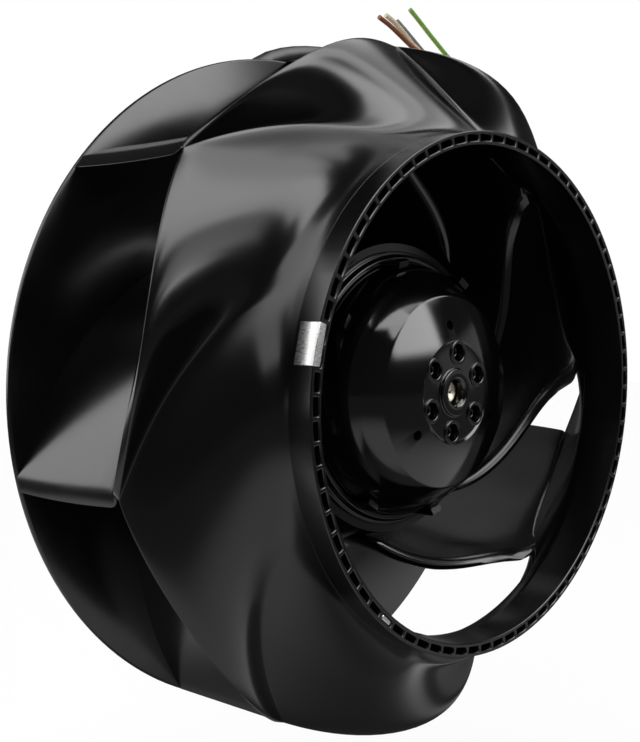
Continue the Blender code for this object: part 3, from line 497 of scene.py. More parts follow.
def drawn_steel(name, one, two, roughness):
    """Steel between two tones, with fine drawn lines."""
    material, tree, shader = new_material(name)
    lines = noise(tree, object_coordinates(tree, (1, 12, 1)), 700, detail=3)
    cloud = noise(tree, object_coordinates(tree), 120, detail=3)
    tree.links.new(blended(tree, cloud, one, two), shader.inputs["Base Color"])
    tree.links.new(ranged(tree, lines, *roughness), shader.inputs["Roughness"])
    shader.inputs["Metallic"].default_value = 1.0
    bumped(tree, shader, lines, 0.01 * MM, 0.2)
    return material


def cast_aluminium():
    """As-cast aluminium: a sandy grain and uneven tone."""
    material, tree, shader = new_material("cast_aluminium")
    vector = object_coordinates(tree)
    cloud = noise(tree, vector, 55, detail=4)
    grain = noise(tree, vector, 1500, detail=3)
    grey = blended(tree, cloud, (0.34, 0.35, 0.36), (0.46, 0.47, 0.48))
    tree.links.new(grey, shader.inputs["Base Color"])
    tree.links.new(ranged(tree, grain, 0.38, 0.56), shader.inputs["Roughness"])
    shader.inputs["Metallic"].default_value = 1.0
    bumped(tree, shader, grain, 0.08 * MM, 0.5)
    return material


def striped(name, one, two, scale, roughness, bump):
    """Metal in bands square to the shaft, as in laminations or turns of wire."""
    material, tree, shader = new_material(name)
    wave = add_node(tree, "ShaderNodeTexWave", wave_type="BANDS", bands_direction="Y")
    wave.inputs["Scale"].default_value = scale
    wave.inputs["Distortion"].default_value = 0.3
    tree.links.new(object_coordinates(tree), wave.inputs["Vector"])
    tree.links.new(blended(tree, wave.outputs["Fac"], one, two), shader.inputs["Base Color"])
    shader.inputs["Roughness"].default_value = roughness
    shader.inputs["Metallic"].default_value = 1.0
    bumped(tree, shader, wave.outputs["Fac"], bump, 0.6)
    return material


def plain_skin(name, one, two, roughness, scale):
    """A moulded or extruded skin: two near tones and a fine grain."""
    material, tree, shader = new_material(name)
    vector = object_coordinates(tree)
    cloud = noise(tree, vector, scale, detail=3)
    tree.links.new(blended(tree, cloud, one, two), shader.inputs["Base Color"])
    tree.links.new(ranged(tree, cloud, *roughness), shader.inputs["Roughness"])
    bumped(tree, shader, noise(tree, vector, scale * 12, detail=2), 0.03 * MM, 0.3)
    return material


def circuit_board_finish():
    """Green solder resist over paler tracks."""
    material, tree, shader = new_material("board_green")
    vector = object_coordinates(tree)
    tracks = add_node(tree, "ShaderNodeTexBrick")
    tracks.inputs["Scale"].default_value = 90
    tracks.inputs["Mortar Size"].default_value = 0.012
    tracks.inputs["Color1"].default_value = (0.010, 0.090, 0.030, 1)
    tracks.inputs["Color2"].default_value = (0.014, 0.120, 0.042, 1)
    tracks.inputs["Mortar"].default_value = (0.050, 0.220, 0.090, 1)
    tree.links.new(vector, tracks.inputs["Vector"])
    tree.links.new(tracks.outputs["Color"], shader.inputs["Base Color"])
    tree.links.new(ranged(tree, noise(tree, vector, 300), 0.3, 0.42), shader.inputs["Roughness"])
    return material


PLASTIC = moulded_plastic()
COATED = coated_steel()
STEEL = drawn_steel("bright_steel", (0.58, 0.57, 0.55), (0.74, 0.73, 0.71), (0.2, 0.34))
CLIP_STEEL = drawn_steel("clip_steel", (0.84, 0.84, 0.83), (0.94, 0.94, 0.93), (0.24, 0.34))
SHAFT_STEEL = drawn_steel("shaft_steel", (0.56, 0.50, 0.40), (0.68, 0.62, 0.52), (0.3, 0.42))
BLACK_OXIDE = drawn_steel("black_oxide", (0.055, 0.055, 0.06), (0.10, 0.10, 0.105), (0.22, 0.34))
ALUMINIUM = cast_aluminium()
LAMINATIONS = striped("laminations", (0.16, 0.17, 0.18), (0.30, 0.31, 0.33), 318.5, 0.5, 0.08 * MM)
COPPER = striped("copper", (0.50, 0.17, 0.06), (0.74, 0.32, 0.14), 265.4, 0.32, 0.1 * MM)
FERRITE = plain_skin("ferrite", (0.05, 0.05, 0.055), (0.09, 0.09, 0.095), (0.5, 0.65), 400)
RUBBER = plain_skin("gasket_rubber", (0.012, 0.012, 0.012), (0.022, 0.022, 0.022), (0.7, 0.85), 500)
DARK_PLASTIC = plain_skin("dark_plastic", (0.012, 0.012, 0.013), (0.020, 0.020, 0.021), (0.38, 0.5), 300)
SLEEVE = plain_skin("capacitor_sleeve", (0.010, 0.010, 0.022), (0.018, 0.018, 0.034), (0.25, 0.35), 200)
SHEATH = plain_skin("sheath_black", (0.010, 0.010, 0.010), (0.018, 0.018, 0.018), (0.32, 0.44), 180)
BOARD = circuit_board_finish()


def insulation(tone, one, two):
    return plain_skin(f"insulation_{tone}", one, two, (0.3, 0.4), 260)


INSULATION = {
    "lead_brown": insulation("brown", (0.20, 0.060, 0.022), (0.27, 0.085, 0.032)),
    "lead_grey": insulation("grey", (0.17, 0.17, 0.18), (0.23, 0.23, 0.24)),
    "lead_cream": insulation("cream", (0.68, 0.58, 0.38), (0.78, 0.70, 0.50)),
    "lead_earth": insulation("green", (0.16, 0.38, 0.06), (0.22, 0.46, 0.08)),
}
EARTH_STRIPE = insulation("yellow", (0.62, 0.60, 0.10), (0.72, 0.68, 0.14))


# Camera and studio

def add_camera():
    camera = bpy.data.objects.new("camera", bpy.data.cameras.new("camera"))
    bpy.context.scene.collection.objects.link(camera)
    forward = Vector((
        math.sin(CAMERA_YAW) * math.cos(CAMERA_PITCH),
        math.cos(CAMERA_YAW) * math.cos(CAMERA_PITCH),
        math.sin(CAMERA_PITCH),
    ))
    camera.location = CAMERA_PLACE
    camera.rotation_euler = forward.to_track_quat("-Z", "Y").to_euler()
    camera.data.sensor_width = 36
    camera.data.lens = CAMERA_LENS
    camera.data.clip_start = 0.01
    bpy.context.scene.camera = camera


def add_key_light():
    """Soft lamp from the upper left. Gloss shows the studio's panels instead of the lamp."""
    light = bpy.data.lights.new("key", "AREA")
    light.shape = "RECTANGLE"
    light.size, light.size_y = KEY_SIZE
    light.energy = KEY_POWER
    lamp = bpy.data.objects.new("key", light)
    lamp.location = KEY_PLACE
    lamp.rotation_euler = (-Vector(KEY_PLACE)).to_track_quat("-Z", "Y").to_euler()
    lamp.visible_glossy = False
    bpy.context.scene.collection.objects.link(lamp)


def math_node(tree, operation, one, two=None):
    """A Math node's result, from a socket and, where it takes two values, a second socket or a number."""
    node = add_node(tree, "ShaderNodeMath", operation=operation)
    tree.links.new(one, node.inputs[0])
    if isinstance(two, (int, float)):
        node.inputs[1].default_value = two
    elif two is not None:
        tree.links.new(two, node.inputs[1])
    return node.outputs[0]


def soft_step(tree, value, edge, softness, low=0.0, high=1.0):
    """Low below an edge and high above it, with a smooth change between."""
    node = add_node(tree, "ShaderNodeMapRange", interpolation_type="SMOOTHSTEP")
    node.inputs["From Min"].default_value = edge - softness
    node.inputs["From Max"].default_value = edge + softness
    node.inputs["To Min"].default_value = low
    node.inputs["To Max"].default_value = high
    tree.links.new(value, node.inputs["Value"])
    return node.outputs["Result"]


def soft_window(tree, value, edges, softness):
    """One between two edges and zero outside them."""
    rise = soft_step(tree, value, edges[0], softness)
    fall = soft_step(tree, value, edges[1], softness, 1.0, 0.0)
    return math_node(tree, "MULTIPLY", rise, fall)


def studio_panels(tree):
    """Brightness of the studio by direction: bright panels in a dim room."""
    place = add_node(tree, "ShaderNodeTexCoord")
    turned = add_node(tree, "ShaderNodeMapping")
    turned.inputs["Rotation"].default_value = (0, 0, STUDIO_TURN)
    tree.links.new(place.outputs["Generated"], turned.inputs["Vector"])
    split = add_node(tree, "ShaderNodeSeparateXYZ")
    tree.links.new(turned.outputs["Vector"], split.inputs["Vector"])
    azimuth = math_node(tree, "ARCTAN2", split.outputs["Y"], split.outputs["X"])
    height = math_node(tree, "ARCSINE", split.outputs["Z"])
    panels = []
    for sides, heights, brightness in STUDIO_PANELS.values():
        across = soft_window(tree, azimuth, [math.radians(side) for side in sides], PANEL_SOFTNESS)
        upwards = soft_window(tree, height, [math.radians(side) for side in heights], PANEL_SOFTNESS)
        shape = math_node(tree, "MULTIPLY", across, upwards)
        panels.append(math_node(tree, "MULTIPLY", shape, brightness))
    total = math_node(tree, "MAXIMUM", panels[0], STUDIO_ROOM)
    for panel in panels[1:]:
        total = math_node(tree, "MAXIMUM", total, panel)
    return total


def float_mix(tree, factor, one, two):
    """A number that is one where the factor is 0 and two where it is 1. Each is a number or a socket."""
    node = add_node(tree, "ShaderNodeMix", data_type="FLOAT")
    tree.links.new(factor, node.inputs["Factor"])
    for name, value in (("A", one), ("B", two)):
        if isinstance(value, (int, float)):
            node.inputs[name].default_value = value
        else:
            tree.links.new(value, node.inputs[name])
    return node.outputs["Result"]


def add_world():
    """White to the camera and through glass, the studio's panels to gloss, and plain light to all else."""
    world = bpy.data.worlds.new("studio")
    bpy.context.scene.world = world
    world.use_nodes = True
    tree = world.node_tree
    background = tree.nodes["Background"]
    path = add_node(tree, "ShaderNodeLightPath")
    reflected = float_mix(tree, path.outputs["Is Glossy Ray"], WORLD_LIGHT, studio_panels(tree))
    white = math_node(tree, "MAXIMUM", path.outputs["Is Camera Ray"], path.outputs["Is Transmission Ray"])
    background.inputs["Color"].default_value = (1, 1, 1, 1)
    tree.links.new(float_mix(tree, white, reflected, 1.0), background.inputs["Strength"])


def floor_in_gloss(tree):
    """Brightness of the floor in the object's gloss: a pale table top, darker where the fan shades it."""
    place = add_node(tree, "ShaderNodeNewGeometry")
    shares = []
    for centre, reach, softness, inside, outside in TABLE_CIRCLES:
        offset = add_node(tree, "ShaderNodeVectorMath", operation="DISTANCE")
        offset.inputs[1].default_value = (*centre, FLOOR_HEIGHT)
        tree.links.new(place.outputs["Position"], offset.inputs[0])
        shares.append(soft_step(tree, offset.outputs["Value"], reach, softness, inside, outside))
    return math_node(tree, "MULTIPLY", math_node(tree, "MULTIPLY", *shares), TABLE_BRIGHTNESS)


def add_floor():
    """Pale floor well below the fan, which its mounting holds in the air."""
    mesh = bpy.data.meshes.new("floor")
    corners = [(-FLOOR_HALF, -FLOOR_HALF), (FLOOR_HALF, -FLOOR_HALF), (FLOOR_HALF, FLOOR_HALF),
               (-FLOOR_HALF, FLOOR_HALF)]
    mesh.from_pydata([(x, y, FLOOR_HEIGHT) for x, y in corners], [], [(0, 1, 2, 3)])
    floor = bpy.data.objects.new("floor", mesh)
    bpy.context.scene.collection.objects.link(floor)
    material, tree, shader = new_material("floor")
    shader.inputs["Base Color"].default_value = FLOOR_PAINT
    shader.inputs["Roughness"].default_value = 0.9
    path = add_node(tree, "ShaderNodeLightPath")
    glow = add_node(tree, "ShaderNodeEmission")
    brightness = float_mix(tree, path.outputs["Is Glossy Ray"], FLOOR_WHITE, floor_in_gloss(tree))
    tree.links.new(brightness, glow.inputs["Strength"])
    seen = math_node(tree, "MULTIPLY", path.outputs["Is Camera Ray"], FLOOR_GLOW)
    share = math_node(tree, "MAXIMUM", seen, path.outputs["Is Glossy Ray"])
    mixed = add_node(tree, "ShaderNodeMixShader")
    tree.links.new(share, mixed.inputs["Fac"])
    tree.links.new(shader.outputs["BSDF"], mixed.inputs[1])
    tree.links.new(glow.outputs["Emission"], mixed.inputs[2])
    tree.links.new(mixed.outputs["Shader"], tree.nodes["Material Output"].inputs["Surface"])
    mesh.materials.append(material)


# Cords

def smooth_route(points, spacing):
    """Points read at even distances from a smooth curve through a route's own points."""
    route = [Vector(point) * MM for point in points]
    ends = [2 * route[0] - route[1]] + route + [2 * route[-1] - route[-2]]
    dense = []
    for index in range(1, len(ends) - 2):
        a, b, c, d = ends[index - 1:index + 3]
        for step in range(ROUTE_STEPS):
            share = step / ROUTE_STEPS
            dense.append(0.5 * (2 * b + (c - a) * share + (2 * a - 5 * b + 4 * c - d) * share**2
                                + (3 * b - a - 3 * c + d) * share**3))
    dense.append(route[-1])
    lengths = [0.0]
    for one, two in zip(dense, dense[1:]):
        lengths.append(lengths[-1] + (two - one).length)
    count = round(lengths[-1] / spacing)
    even = []
    for number in range(count + 1):
        wanted = lengths[-1] * number / count
        index = max(place for place, length in enumerate(lengths) if length <= wanted + 1e-9)
        if index == len(dense) - 1:
            even.append(dense[-1])
            continue
        share = (wanted - lengths[index]) / (lengths[index + 1] - lengths[index])
        even.append(dense[index].lerp(dense[index + 1], share))
    return even


def tube_mesh(name, route, radius, sides, stripe=()):
    """A round tube along a route, with its second material on the sides that the stripe names."""
    def build(work):
        normal = Vector((0, 1, 0))
        rings = []
        for index, point in enumerate(route):
            ahead = route[min(index + 1, len(route) - 1)]
            behind = route[max(index - 1, 0)]
            along = (ahead - behind).normalized()
            normal = (normal - along * normal.dot(along)).normalized()
            across = along.cross(normal)
            spokes = [math.cos(angle) * normal + math.sin(angle) * across for angle in ring_of_angles(sides)]
            rings.append([work.verts.new(point + radius * spoke) for spoke in spokes])
        skin(work, rings)
        for index, face in enumerate(work.faces):
            if index % sides in stripe:
                face.material_index = 1
        work.faces.new(rings[0])
        work.faces.new(rings[-1])
    return mesh_from(name, build)


def add_cord(name, points, radius, sides, materials, slot, stripe=()):
    route = smooth_route(points, 2 * radius)
    mesh = tube_mesh(name, route, radius, sides, stripe)
    for material in materials:
        mesh.materials.append(material)
    cord = bpy.data.objects.new(name + "_shown", mesh)
    bpy.context.scene.collection.objects.link(cord)
    shade(cord, 60)
    tie(cord, "motor", slot, name)


def add_cords():
    add_cord("cable_sheath", SHEATH_ROUTE, CABLE_RADIUS, CABLE_SIDES, [SHEATH], "sheath_black")
    for name, points in LEAD_ROUTES.items():
        materials = [INSULATION[name]]
        stripe = ()
        if name == "lead_earth":
            materials.append(EARTH_STRIPE)
            stripe = EARTH_STRIPE_SIDES
        add_cord(name, points, LEAD_RADIUS, LEAD_SIDES, materials, LEAD_SLOTS[name], stripe)


# Impeller

def lag_at_disc(radius):
    return math.log(WHEEL_RADIUS / radius) / BLADE_SLOPE_AT_DISC


def lag_at_shroud(radius):
    return math.log(SHROUD_RADIUS / radius) / BLADE_SLOPE_AT_SHROUD + BLADE_TWIST


def petal_profile(along):
    """Section of the shroud from the rim to the ring, at this share of the way from blade to blade."""
    swell = math.sin(math.pi * along**PETAL_SKEW)**PETAL_FULLNESS

    def point(across):
        softening = across**VALLEY_SOFTENING
        soft = VALLEY_SOFTNESS_AT_RIM + (VALLEY_SOFTNESS_AT_RING - VALLEY_SOFTNESS_AT_RIM) * softening
        bulge = (math.hypot(swell, soft) - soft) / (math.hypot(1, soft) - soft)
        valley, crown = bezier(VALLEY_HANDLES, across), bezier(PETAL_HANDLES, across)
        return [low + (high - low) * bulge for low, high in zip(valley, crown)]
    profile = [point(FILLET_START * row / SHROUD_STEPS) for row in range(SHROUD_STEPS)]
    before, start = point(FILLET_START - FILLET_LEAD), point(FILLET_START)
    slope = (start[1] - before[1]) / (before[0] - start[0])
    corner = (FILLET_RADIUS, start[1] + (start[0] - FILLET_RADIUS) * slope)
    ends = (start, corner, (FILLET_RADIUS, FILLET_TOP))
    for step in range(FILLET_STEPS + 1):
        share = step / FILLET_STEPS
        weights = ((1 - share)**2, 2 * share * (1 - share), share**2)
        profile.append([sum(weight * end[axis] for weight, end in zip(weights, ends)) for axis in (0, 1)])
    profile.append((FILLET_RADIUS - TUCK_DEPTH, FILLET_TOP + TUCK_RISE))
    return profile


def curve_height(handles, radius):
    """Height at which a curve that runs inwards passes this radius, found by halving."""
    low, high = 0.0, 1.0
    halvings = 30
    for _ in range(halvings):
        middle = (low + high) / 2
        if bezier(handles, middle)[0] > radius:
            low = middle
        else:
            high = middle
    return bezier(handles, low)[1]


def bell_height(radius):
    """Height of the rear disc's front face at this radius."""
    share = (BELL_FOOT_RADIUS - radius) / (BELL_FOOT_RADIUS - BELL_TOP_RADIUS)
    return DISC_FRONT + (BELL_TOP - DISC_FRONT) * min(max(share, 0.0), 1.0)**BELL_POWER


def blade_top(radius):
    if radius > LEADING_EDGE_HANDLES[0][0]:
        return curve_height(VALLEY_HANDLES, radius) - SHROUD_WALL / 2
    return curve_height(LEADING_EDGE_HANDLES, radius)


def add_shroud():
    """Domed front wall: a sheet of seven petals, given its wall and rounded edges."""
    def build(work):
        lines = []
        for blade in range(BLADE_COUNT):
            for step in range(PETAL_STEPS):
                along = (1 - math.cos(math.pi * step / PETAL_STEPS)) / 2
                turn = FIRST_BLADE_ANGLE + (blade + along) * BLADE_PITCH
                lines.append([work.verts.new(polar(radius, turn - lag_at_shroud(radius), height))
                              for radius, height in petal_profile(along)])
        skin(work, lines, joined=True, open_rings=True)
    shroud = add_piece("front_shroud_shown", mesh_from("front_shroud_shown", build), PLASTIC)
    wall = shroud.modifiers.new("wall", "SOLIDIFY")
    wall.thickness = SHROUD_WALL
    wall.offset = -1
    bevel(shroud, 0.35 * MM, 2, 70)
    shade(shroud, 60)
    tie(shroud, "impeller", "moulded_plastic", "front_shroud")


def blade_section(lead, radius):
    """Cross-section of a blade near this radius, with a rounded nose at its front edge."""
    tilt = math.atan(1 / BLADE_SLOPE_AT_DISC)
    half = between(BLADE_THICKNESS, radius / MM) * MM / 2 / radius / math.cos(tilt)
    low = bell_height(radius) - BLADE_ROOT
    high = blade_top(radius)
    nose = min(NOSE_DEPTH, (high - low) / 2)
    outwards = (radius - BLADE_INNER_RADIUS) / (WHEEL_RADIUS - BLADE_INNER_RADIUS)

    def corner(side, height):
        rise = min((height - DISC_FRONT) / (VALLEY_HANDLES[0][1] - DISC_FRONT), 1)
        here = radius - (WHEEL_RADIUS - SHROUD_RADIUS) * rise * outwards
        foot, edge = lead - lag_at_disc(radius), lead - lag_at_shroud(here)
        return polar(here, foot + (edge - foot) * rise + side * half, height)
    rises = [low + (high - nose - low) * row / BLADE_ROWS for row in range(BLADE_ROWS)]
    back = [corner(-1, height) for height in rises]
    front = [corner(1, height) for height in reversed(rises)]
    tip = []
    for step in range(NOSE_STEPS + 1):
        turn = math.pi * step / NOSE_STEPS
        tip.append(corner(-math.cos(turn), high - nose + nose * math.sin(turn)))
    return back + tip + front


def add_blade(number):
    lead = FIRST_BLADE_ANGLE + number * BLADE_PITCH

    def build(work):
        length = WHEEL_RADIUS - BLADE_INNER_RADIUS
        shares = [(step / BLADE_STEPS)**BLADE_CROWDING for step in range(BLADE_STEPS + 1)]
        radii = [WHEEL_RADIUS - length * share for share in shares]
        loft(work, [blade_section(lead, radius) for radius in radii])
    name = f"blade_{number + 1}"
    blade = add_piece(name + "_shown", mesh_from(name + "_shown", build), PLASTIC)
    bevel(blade, 0.4 * MM, 2, 60)
    shade(blade, 50)
    tie(blade, "impeller", "moulded_plastic", name)


def offset_back(outline, distance):
    """An outline's points after the first, moved square to it towards the motor."""
    moved = []
    for index in range(1, len(outline)):
        before = Vector(outline[index - 1])
        after = Vector(outline[min(index + 1, len(outline) - 1)])
        along = (after - before).normalized()
        radius, height = outline[index]
        moved.append((radius - distance * along.y, height + distance * along.x))
    return moved


def add_rear_disc():
    """Rear wall: a flat disc with a rounded rim, drawn up into the hub bell and its lip."""
    fall = (BELL_TOP_RADIUS - BELL_FOOT_RADIUS) / BELL_STEPS
    radii = [BELL_FOOT_RADIUS + fall * step for step in range(BELL_STEPS + 1)]
    front = [(WHEEL_RADIUS - DISC_EDGE, DISC_FRONT), (DISC_FLAT_END, DISC_FRONT)]
    front += [(radius, bell_height(radius)) for radius in radii]
    lip_back = BELL_TOP - BELL_LIP
    wall_top = lip_back - 0.2 * MM
    back = [(radius, min(height, wall_top)) for radius, height in offset_back(front, DISC_WALL)]
    back[-1] = (back[-2][0] - 1.2 * MM, lip_back)
    middle = DISC_FRONT - DISC_WALL / 2
    turns = [math.pi * step / DISC_RIM_STEPS for step in range(DISC_RIM_STEPS)]
    rim = [(WHEEL_RADIUS - DISC_EDGE + DISC_EDGE * math.sin(turn), middle - (DISC_WALL / 2) * math.cos(turn))
           for turn in turns]
    lip = [(ROTOR_RADIUS + SEAT, BELL_TOP), (ROTOR_RADIUS + SEAT, lip_back)]
    outline = rim + front + lip + back[::-1]
    disc = add_piece("rear_disc_shown", turned_mesh("rear_disc_shown", outline, 180), PLASTIC)
    shade(disc, 40)
    tie(disc, "impeller", "moulded_plastic", "rear_disc")


def pocket_angle(number):
    return FIRST_POCKET_ANGLE + number * FULL_TURN / POCKET_COUNT


def add_inlet_ring():
    """Inlet ring: double wall, a rib between every two pockets, all edges slightly rounded."""
    pitch = FULL_TURN / POCKET_COUNT
    middle = (COLLAR_RADIUS + RING_INNER) / 2
    half = (FULL_TURN * middle / POCKET_COUNT - POCKET_RIB) / 2 / middle
    pocket_inner = RING_INNER + POCKET_WALL
    pocket_outer = COLLAR_RADIUS - POCKET_WALL
    flare = RING_BACK + RING_FLARE
    floor = RING_FRONT - POCKET_DEPTH
    shares = [step / RING_WALL_STEPS for step in range(RING_WALL_STEPS + 1)]
    outer_wall = [(COLLAR_RADIUS, RING_FRONT + (RING_BACK - RING_FRONT) * share) for share in shares]
    inner_wall = [(RING_INNER, RING_FRONT + (flare - RING_FRONT) * share) for share in shares]
    skirt = [inner_wall[-1], (COLLAR_RADIUS - SHROUD_WALL, RING_BACK), outer_wall[-1]]
    pocket = [(pocket_inner, RING_FRONT), (pocket_inner, floor), (pocket_outer, floor),
              (pocket_outer, RING_FRONT)]

    def line(work, angle, path):
        return [work.verts.new(polar(radius, angle, height)) for radius, height in path]

    def strip(work, angles, path):
        skin(work, [line(work, angle, path) for angle in angles], open_rings=True)

    def build(work):
        for number in range(POCKET_COUNT):
            centre = pocket_angle(number)
            angles = [centre - pitch / 2, centre - half, centre, centre + half, centre + pitch / 2]
            for path in (outer_wall, inner_wall, skirt):
                strip(work, angles, path)
            strip(work, angles, [(RING_INNER, RING_FRONT), (pocket_inner, RING_FRONT)])
            strip(work, angles, [(pocket_outer, RING_FRONT), (COLLAR_RADIUS, RING_FRONT)])
            lip = [(pocket_inner, RING_FRONT), (pocket_outer, RING_FRONT)]
            strip(work, angles[:2], lip)
            strip(work, angles[3:], lip)
            strip(work, angles[1:4], pocket)
            for angle in (angles[1], angles[3]):
                work.faces.new(line(work, angle, pocket))
        bmesh.ops.remove_doubles(work, verts=work.verts, dist=1e-6)
    ring = add_piece("inlet_ring_shown", mesh_from("inlet_ring_shown", build), PLASTIC)
    bevel(ring, 0.28 * MM, 2, 45)
    shade(ring, 45)
    tie(ring, "impeller", "moulded_plastic", "inlet_ring")


def add_balance_clip():
    """Spring-steel clip: outer leaf, bend over the ring's edge, and two tongues either side of a rib."""
    outer = COLLAR_RADIUS + SEAT
    inner = COLLAR_RADIUS - POCKET_WALL - SEAT
    top = RING_FRONT + SEAT
    tongue_end = RING_FRONT - 6 * MM
    leaf_end = RING_FRONT - 7 * MM
    span = CLIP_SPAN * FULL_TURN / POCKET_COUNT
    centre = pocket_angle(CLIP_POCKET) + math.pi / POCKET_COUNT
    outline = rounded([
        (inner, tongue_end), (inner, top), (outer, top), (outer, leaf_end),
        (outer + CLIP_SHEET, leaf_end - 0.2 * MM), (outer + CLIP_SHEET, top + CLIP_SHEET),
        (inner - CLIP_SHEET, top + CLIP_SHEET), (inner - CLIP_SHEET, tongue_end),
    ], 0.2 * MM, 2)

    def build(work):
        angles = [centre - span / 2, centre + span / 2]
        loft(work, [[polar(radius, angle, height) for radius, height in outline] for angle in angles])

    def build_notch(work):
        size = (1.2 * MM, POCKET_RIB + 1 * MM, 12 * MM)
        box_at(work, inner - CLIP_SHEET / 2, centre, tongue_end, size)
    clip = add_piece("balance_clip_shown", mesh_from("balance_clip_shown", build), CLIP_STEEL)
    cut(clip, mesh_from("notch", build_notch))
    bevel(clip, 0.12 * MM, 2, 50)
    shade(clip, 20)
    tie(clip, "impeller", "bright_steel", "balance_clip")


def add_balance_weight():
    """Small steel bar in one pocket."""
    middle = (COLLAR_RADIUS + RING_INNER) / 2

    def build(work):
        box_at(work, middle, pocket_angle(WEIGHT_POCKET), RING_FRONT - WEIGHT_DEPTH, WEIGHT_SIZE)
    weight = add_piece("balance_weight_shown", mesh_from("balance_weight_shown", build), STEEL)
    bevel(weight, 0.3 * MM, 3, 40)
    shade(weight, 40)
    tie(weight, "impeller", "bright_steel", "balance_weight")


def add_clamp_ring():
    """Stepped ring on the impeller's lip, with catches that lean over the rotor's shoulder."""
    low = BELL_TOP + SEAT
    inner = ROTOR_RADIUS + SEAT
    collar = low + CLAMP_RISE
    outline = rounded([
        (CLAMP_RADIUS, low + CLAMP_STEP), (CLAMP_RADIUS, low), (inner, low), (inner, collar),
        (inner + 1.8 * MM, collar), (inner + 2.4 * MM, low + CLAMP_STEP),
    ], 0.4 * MM, 3)
    ring = add_piece("hub_clamp_ring_shown", turned_mesh("hub_clamp_ring_shown", outline, 144), PLASTIC)
    leg_foot = low + 0.6 * MM
    leg_outer, leg_inner = inner + 1.3 * MM, inner + 0.2 * MM
    hook_tip = inner - 1.5 * MM
    hook_back = CATCH_TOP - 1.2 * MM
    hook = [
        (leg_outer, leg_foot), (leg_outer, CATCH_TOP - 1 * MM), (inner + 0.7 * MM, CATCH_TOP),
        (hook_tip, CATCH_TOP - 0.8 * MM), (hook_tip, hook_back), (leg_inner, hook_back),
        (leg_inner, leg_foot),
    ]

    def build(work):
        for angle in ring_of_angles(CATCH_COUNT, FIRST_CATCH_ANGLE):
            bar_at(work, angle, hook, CATCH_WIDTH)
    cut(ring, mesh_from("catches", build), "UNION")
    bevel(ring, 0.15 * MM, 2, 60)
    shade(ring, 40)
    tie(ring, "impeller", "moulded_plastic", "hub_clamp_ring")


def add_rotor_shell():
    """Rotor cup: boss, hub face with rimmed screw holes, cone, round shoulder, and its open back."""
    bore = 4.3 * MM
    inside = ROTOR_RADIUS - ROTOR_WALL
    boss_and_face = rounded(in_mm([
        (4.3, 111.6), (5.2, 112.6), (8.3, 112.6), (8.3, 111.4), (17.2, 111.4), (18.2, 111.9),
    ]), 0.6 * MM, 4, closed=False)
    cone_edge = in_mm([(33.2, 108.4), (34, 107.9)])
    shoulder = rounded(in_mm([
        (38.6, 101.4), (41.2, 98.6), (43.3, 95.4), (45.5, 90), (45.5, 38),
    ]), 3 * MM, 6, closed=False)
    back = [(inside, ROTOR_BACK), (inside, 88 * MM)] + in_mm([
        (40.6, 93.6), (36, 99), (32, 104), (20, 107.4), (10, 107.4), (9, 98),
    ]) + [(bore, 98 * MM)]
    outline = boss_and_face + cone_edge + shoulder + back
    shell = add_piece("rotor_shell_shown", turned_mesh("rotor_shell_shown", outline, 144), COATED)
    low, high = 100 * MM, 115 * MM
    screw_angles = ring_of_angles(HUB_SCREW_COUNT, FIRST_HUB_SCREW_ANGLE)
    screw_places = [(HUB_SCREW_CIRCLE, angle) for angle in screw_angles]
    cut(shell, cylinders_mesh("hub_holes", screw_places, HUB_HOLE_RADIUS, low, high))
    plain_angles = ring_of_angles(PLAIN_HOLE_COUNT, FIRST_PLAIN_HOLE_ANGLE)
    plain_places = [(PLAIN_HOLE_CIRCLE, angle) for angle in plain_angles]
    cut(shell, cylinders_mesh("plain_holes", plain_places, PLAIN_HOLE_RADIUS, low, high, 24))
    shade(shell, 35)
    tie(shell, "impeller", "black_coated_steel", "rotor_shell")
    rim = rounded(in_mm([(3.0, 110.6), (3.0, 112), (4.3, 112), (4.5, 110.6)]), 0.45 * MM, 4)
    for number, (distance, angle) in enumerate(screw_places):
        collar = add_piece(f"hub_hole_rim_{number + 1}", turned_mesh("rim", rim, 48), COATED)
        collar.matrix_world = FAN_FRAME @ Matrix.Translation(polar(distance, angle, 0))
        shade(collar, 40)
        tie(collar, "impeller", "black_coated_steel")


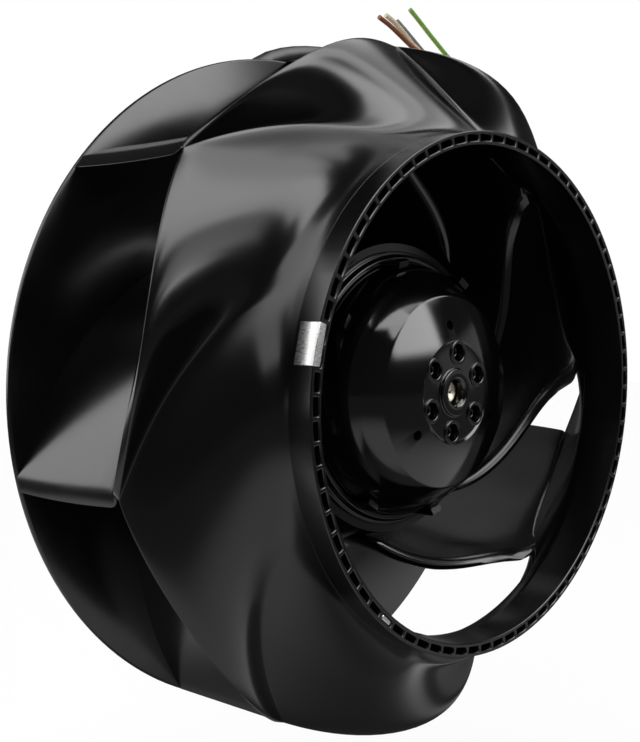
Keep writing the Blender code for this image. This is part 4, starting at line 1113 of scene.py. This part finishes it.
def add_hub_screws():
    """Button-headed screws with a recessed drive, sunk in the holes of the hub face."""
    outline = rounded(in_mm([
        (0, 107.6), (1.15, 107.6), (1.25, 109.6), (1.9, 109.6), (2.7, 108.9), (2.7, 107), (1.7, 107),
        (1.7, 101), (0, 101),
    ]), 0.25 * MM, 3, closed=False)
    for number, angle in enumerate(ring_of_angles(HUB_SCREW_COUNT, FIRST_HUB_SCREW_ANGLE)):
        name = f"hub_screw_{number + 1}"
        screw = add_piece(name + "_shown", turned_mesh(name, outline, 48, closed=False), BLACK_OXIDE)
        screw.matrix_world = FAN_FRAME @ Matrix.Translation(polar(HUB_SCREW_CIRCLE, angle, 0))
        shade(screw, 40)
        tie(screw, "impeller", "bright_steel", name)


def add_shaft():
    """Shaft with a hollow front end and the circlip's groove near its rear end."""
    outline = rounded(in_mm([
        (0, 106.6), (1.5, 108.4), (3.5, 109), (4, 108.5), (4, 31.2), (3.4, 31.2), (3.4, 30), (4, 30),
        (4, 27.8), (3.2, 27), (0, 27),
    ]), 0.3 * MM, 3, closed=False)
    mesh = turned_mesh("rotor_shaft_shown", outline, 64, closed=False)
    shaft = add_piece("rotor_shaft_shown", mesh, SHAFT_STEEL)
    shade(shaft, 30)
    tie(shaft, "impeller", "bright_steel", "rotor_shaft")


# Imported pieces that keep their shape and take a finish

def finish_packed_nodes():
    """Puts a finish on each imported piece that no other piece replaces: plain steel where none is named."""
    finishes = {
        "electronics_housing": ALUMINIUM, "stator_flange": ALUMINIUM, "housing_gasket": RUBBER,
        "stator_core": LAMINATIONS, "magnet_ring": FERRITE, "circuit_board": BOARD,
        "power_module": DARK_PLASTIC, "capacitor_1": SLEEVE, "capacitor_2": SLEEVE,
        "cable_gland": DARK_PLASTIC,
    }
    for name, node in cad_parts.items():
        if not node.hide_render:
            material = COPPER if name.startswith("coil_") else finishes.get(name, STEEL)
            node.data.materials.clear()
            node.data.materials.append(material)


add_camera()
add_cords()
add_world()
add_floor()
add_key_light()

add_shroud()
add_rear_disc()
for number in range(BLADE_COUNT):
    add_blade(number)
add_inlet_ring()
add_balance_clip()
add_balance_weight()
add_clamp_ring()
add_rotor_shell()
add_hub_screws()
add_shaft()
finish_packed_nodes()
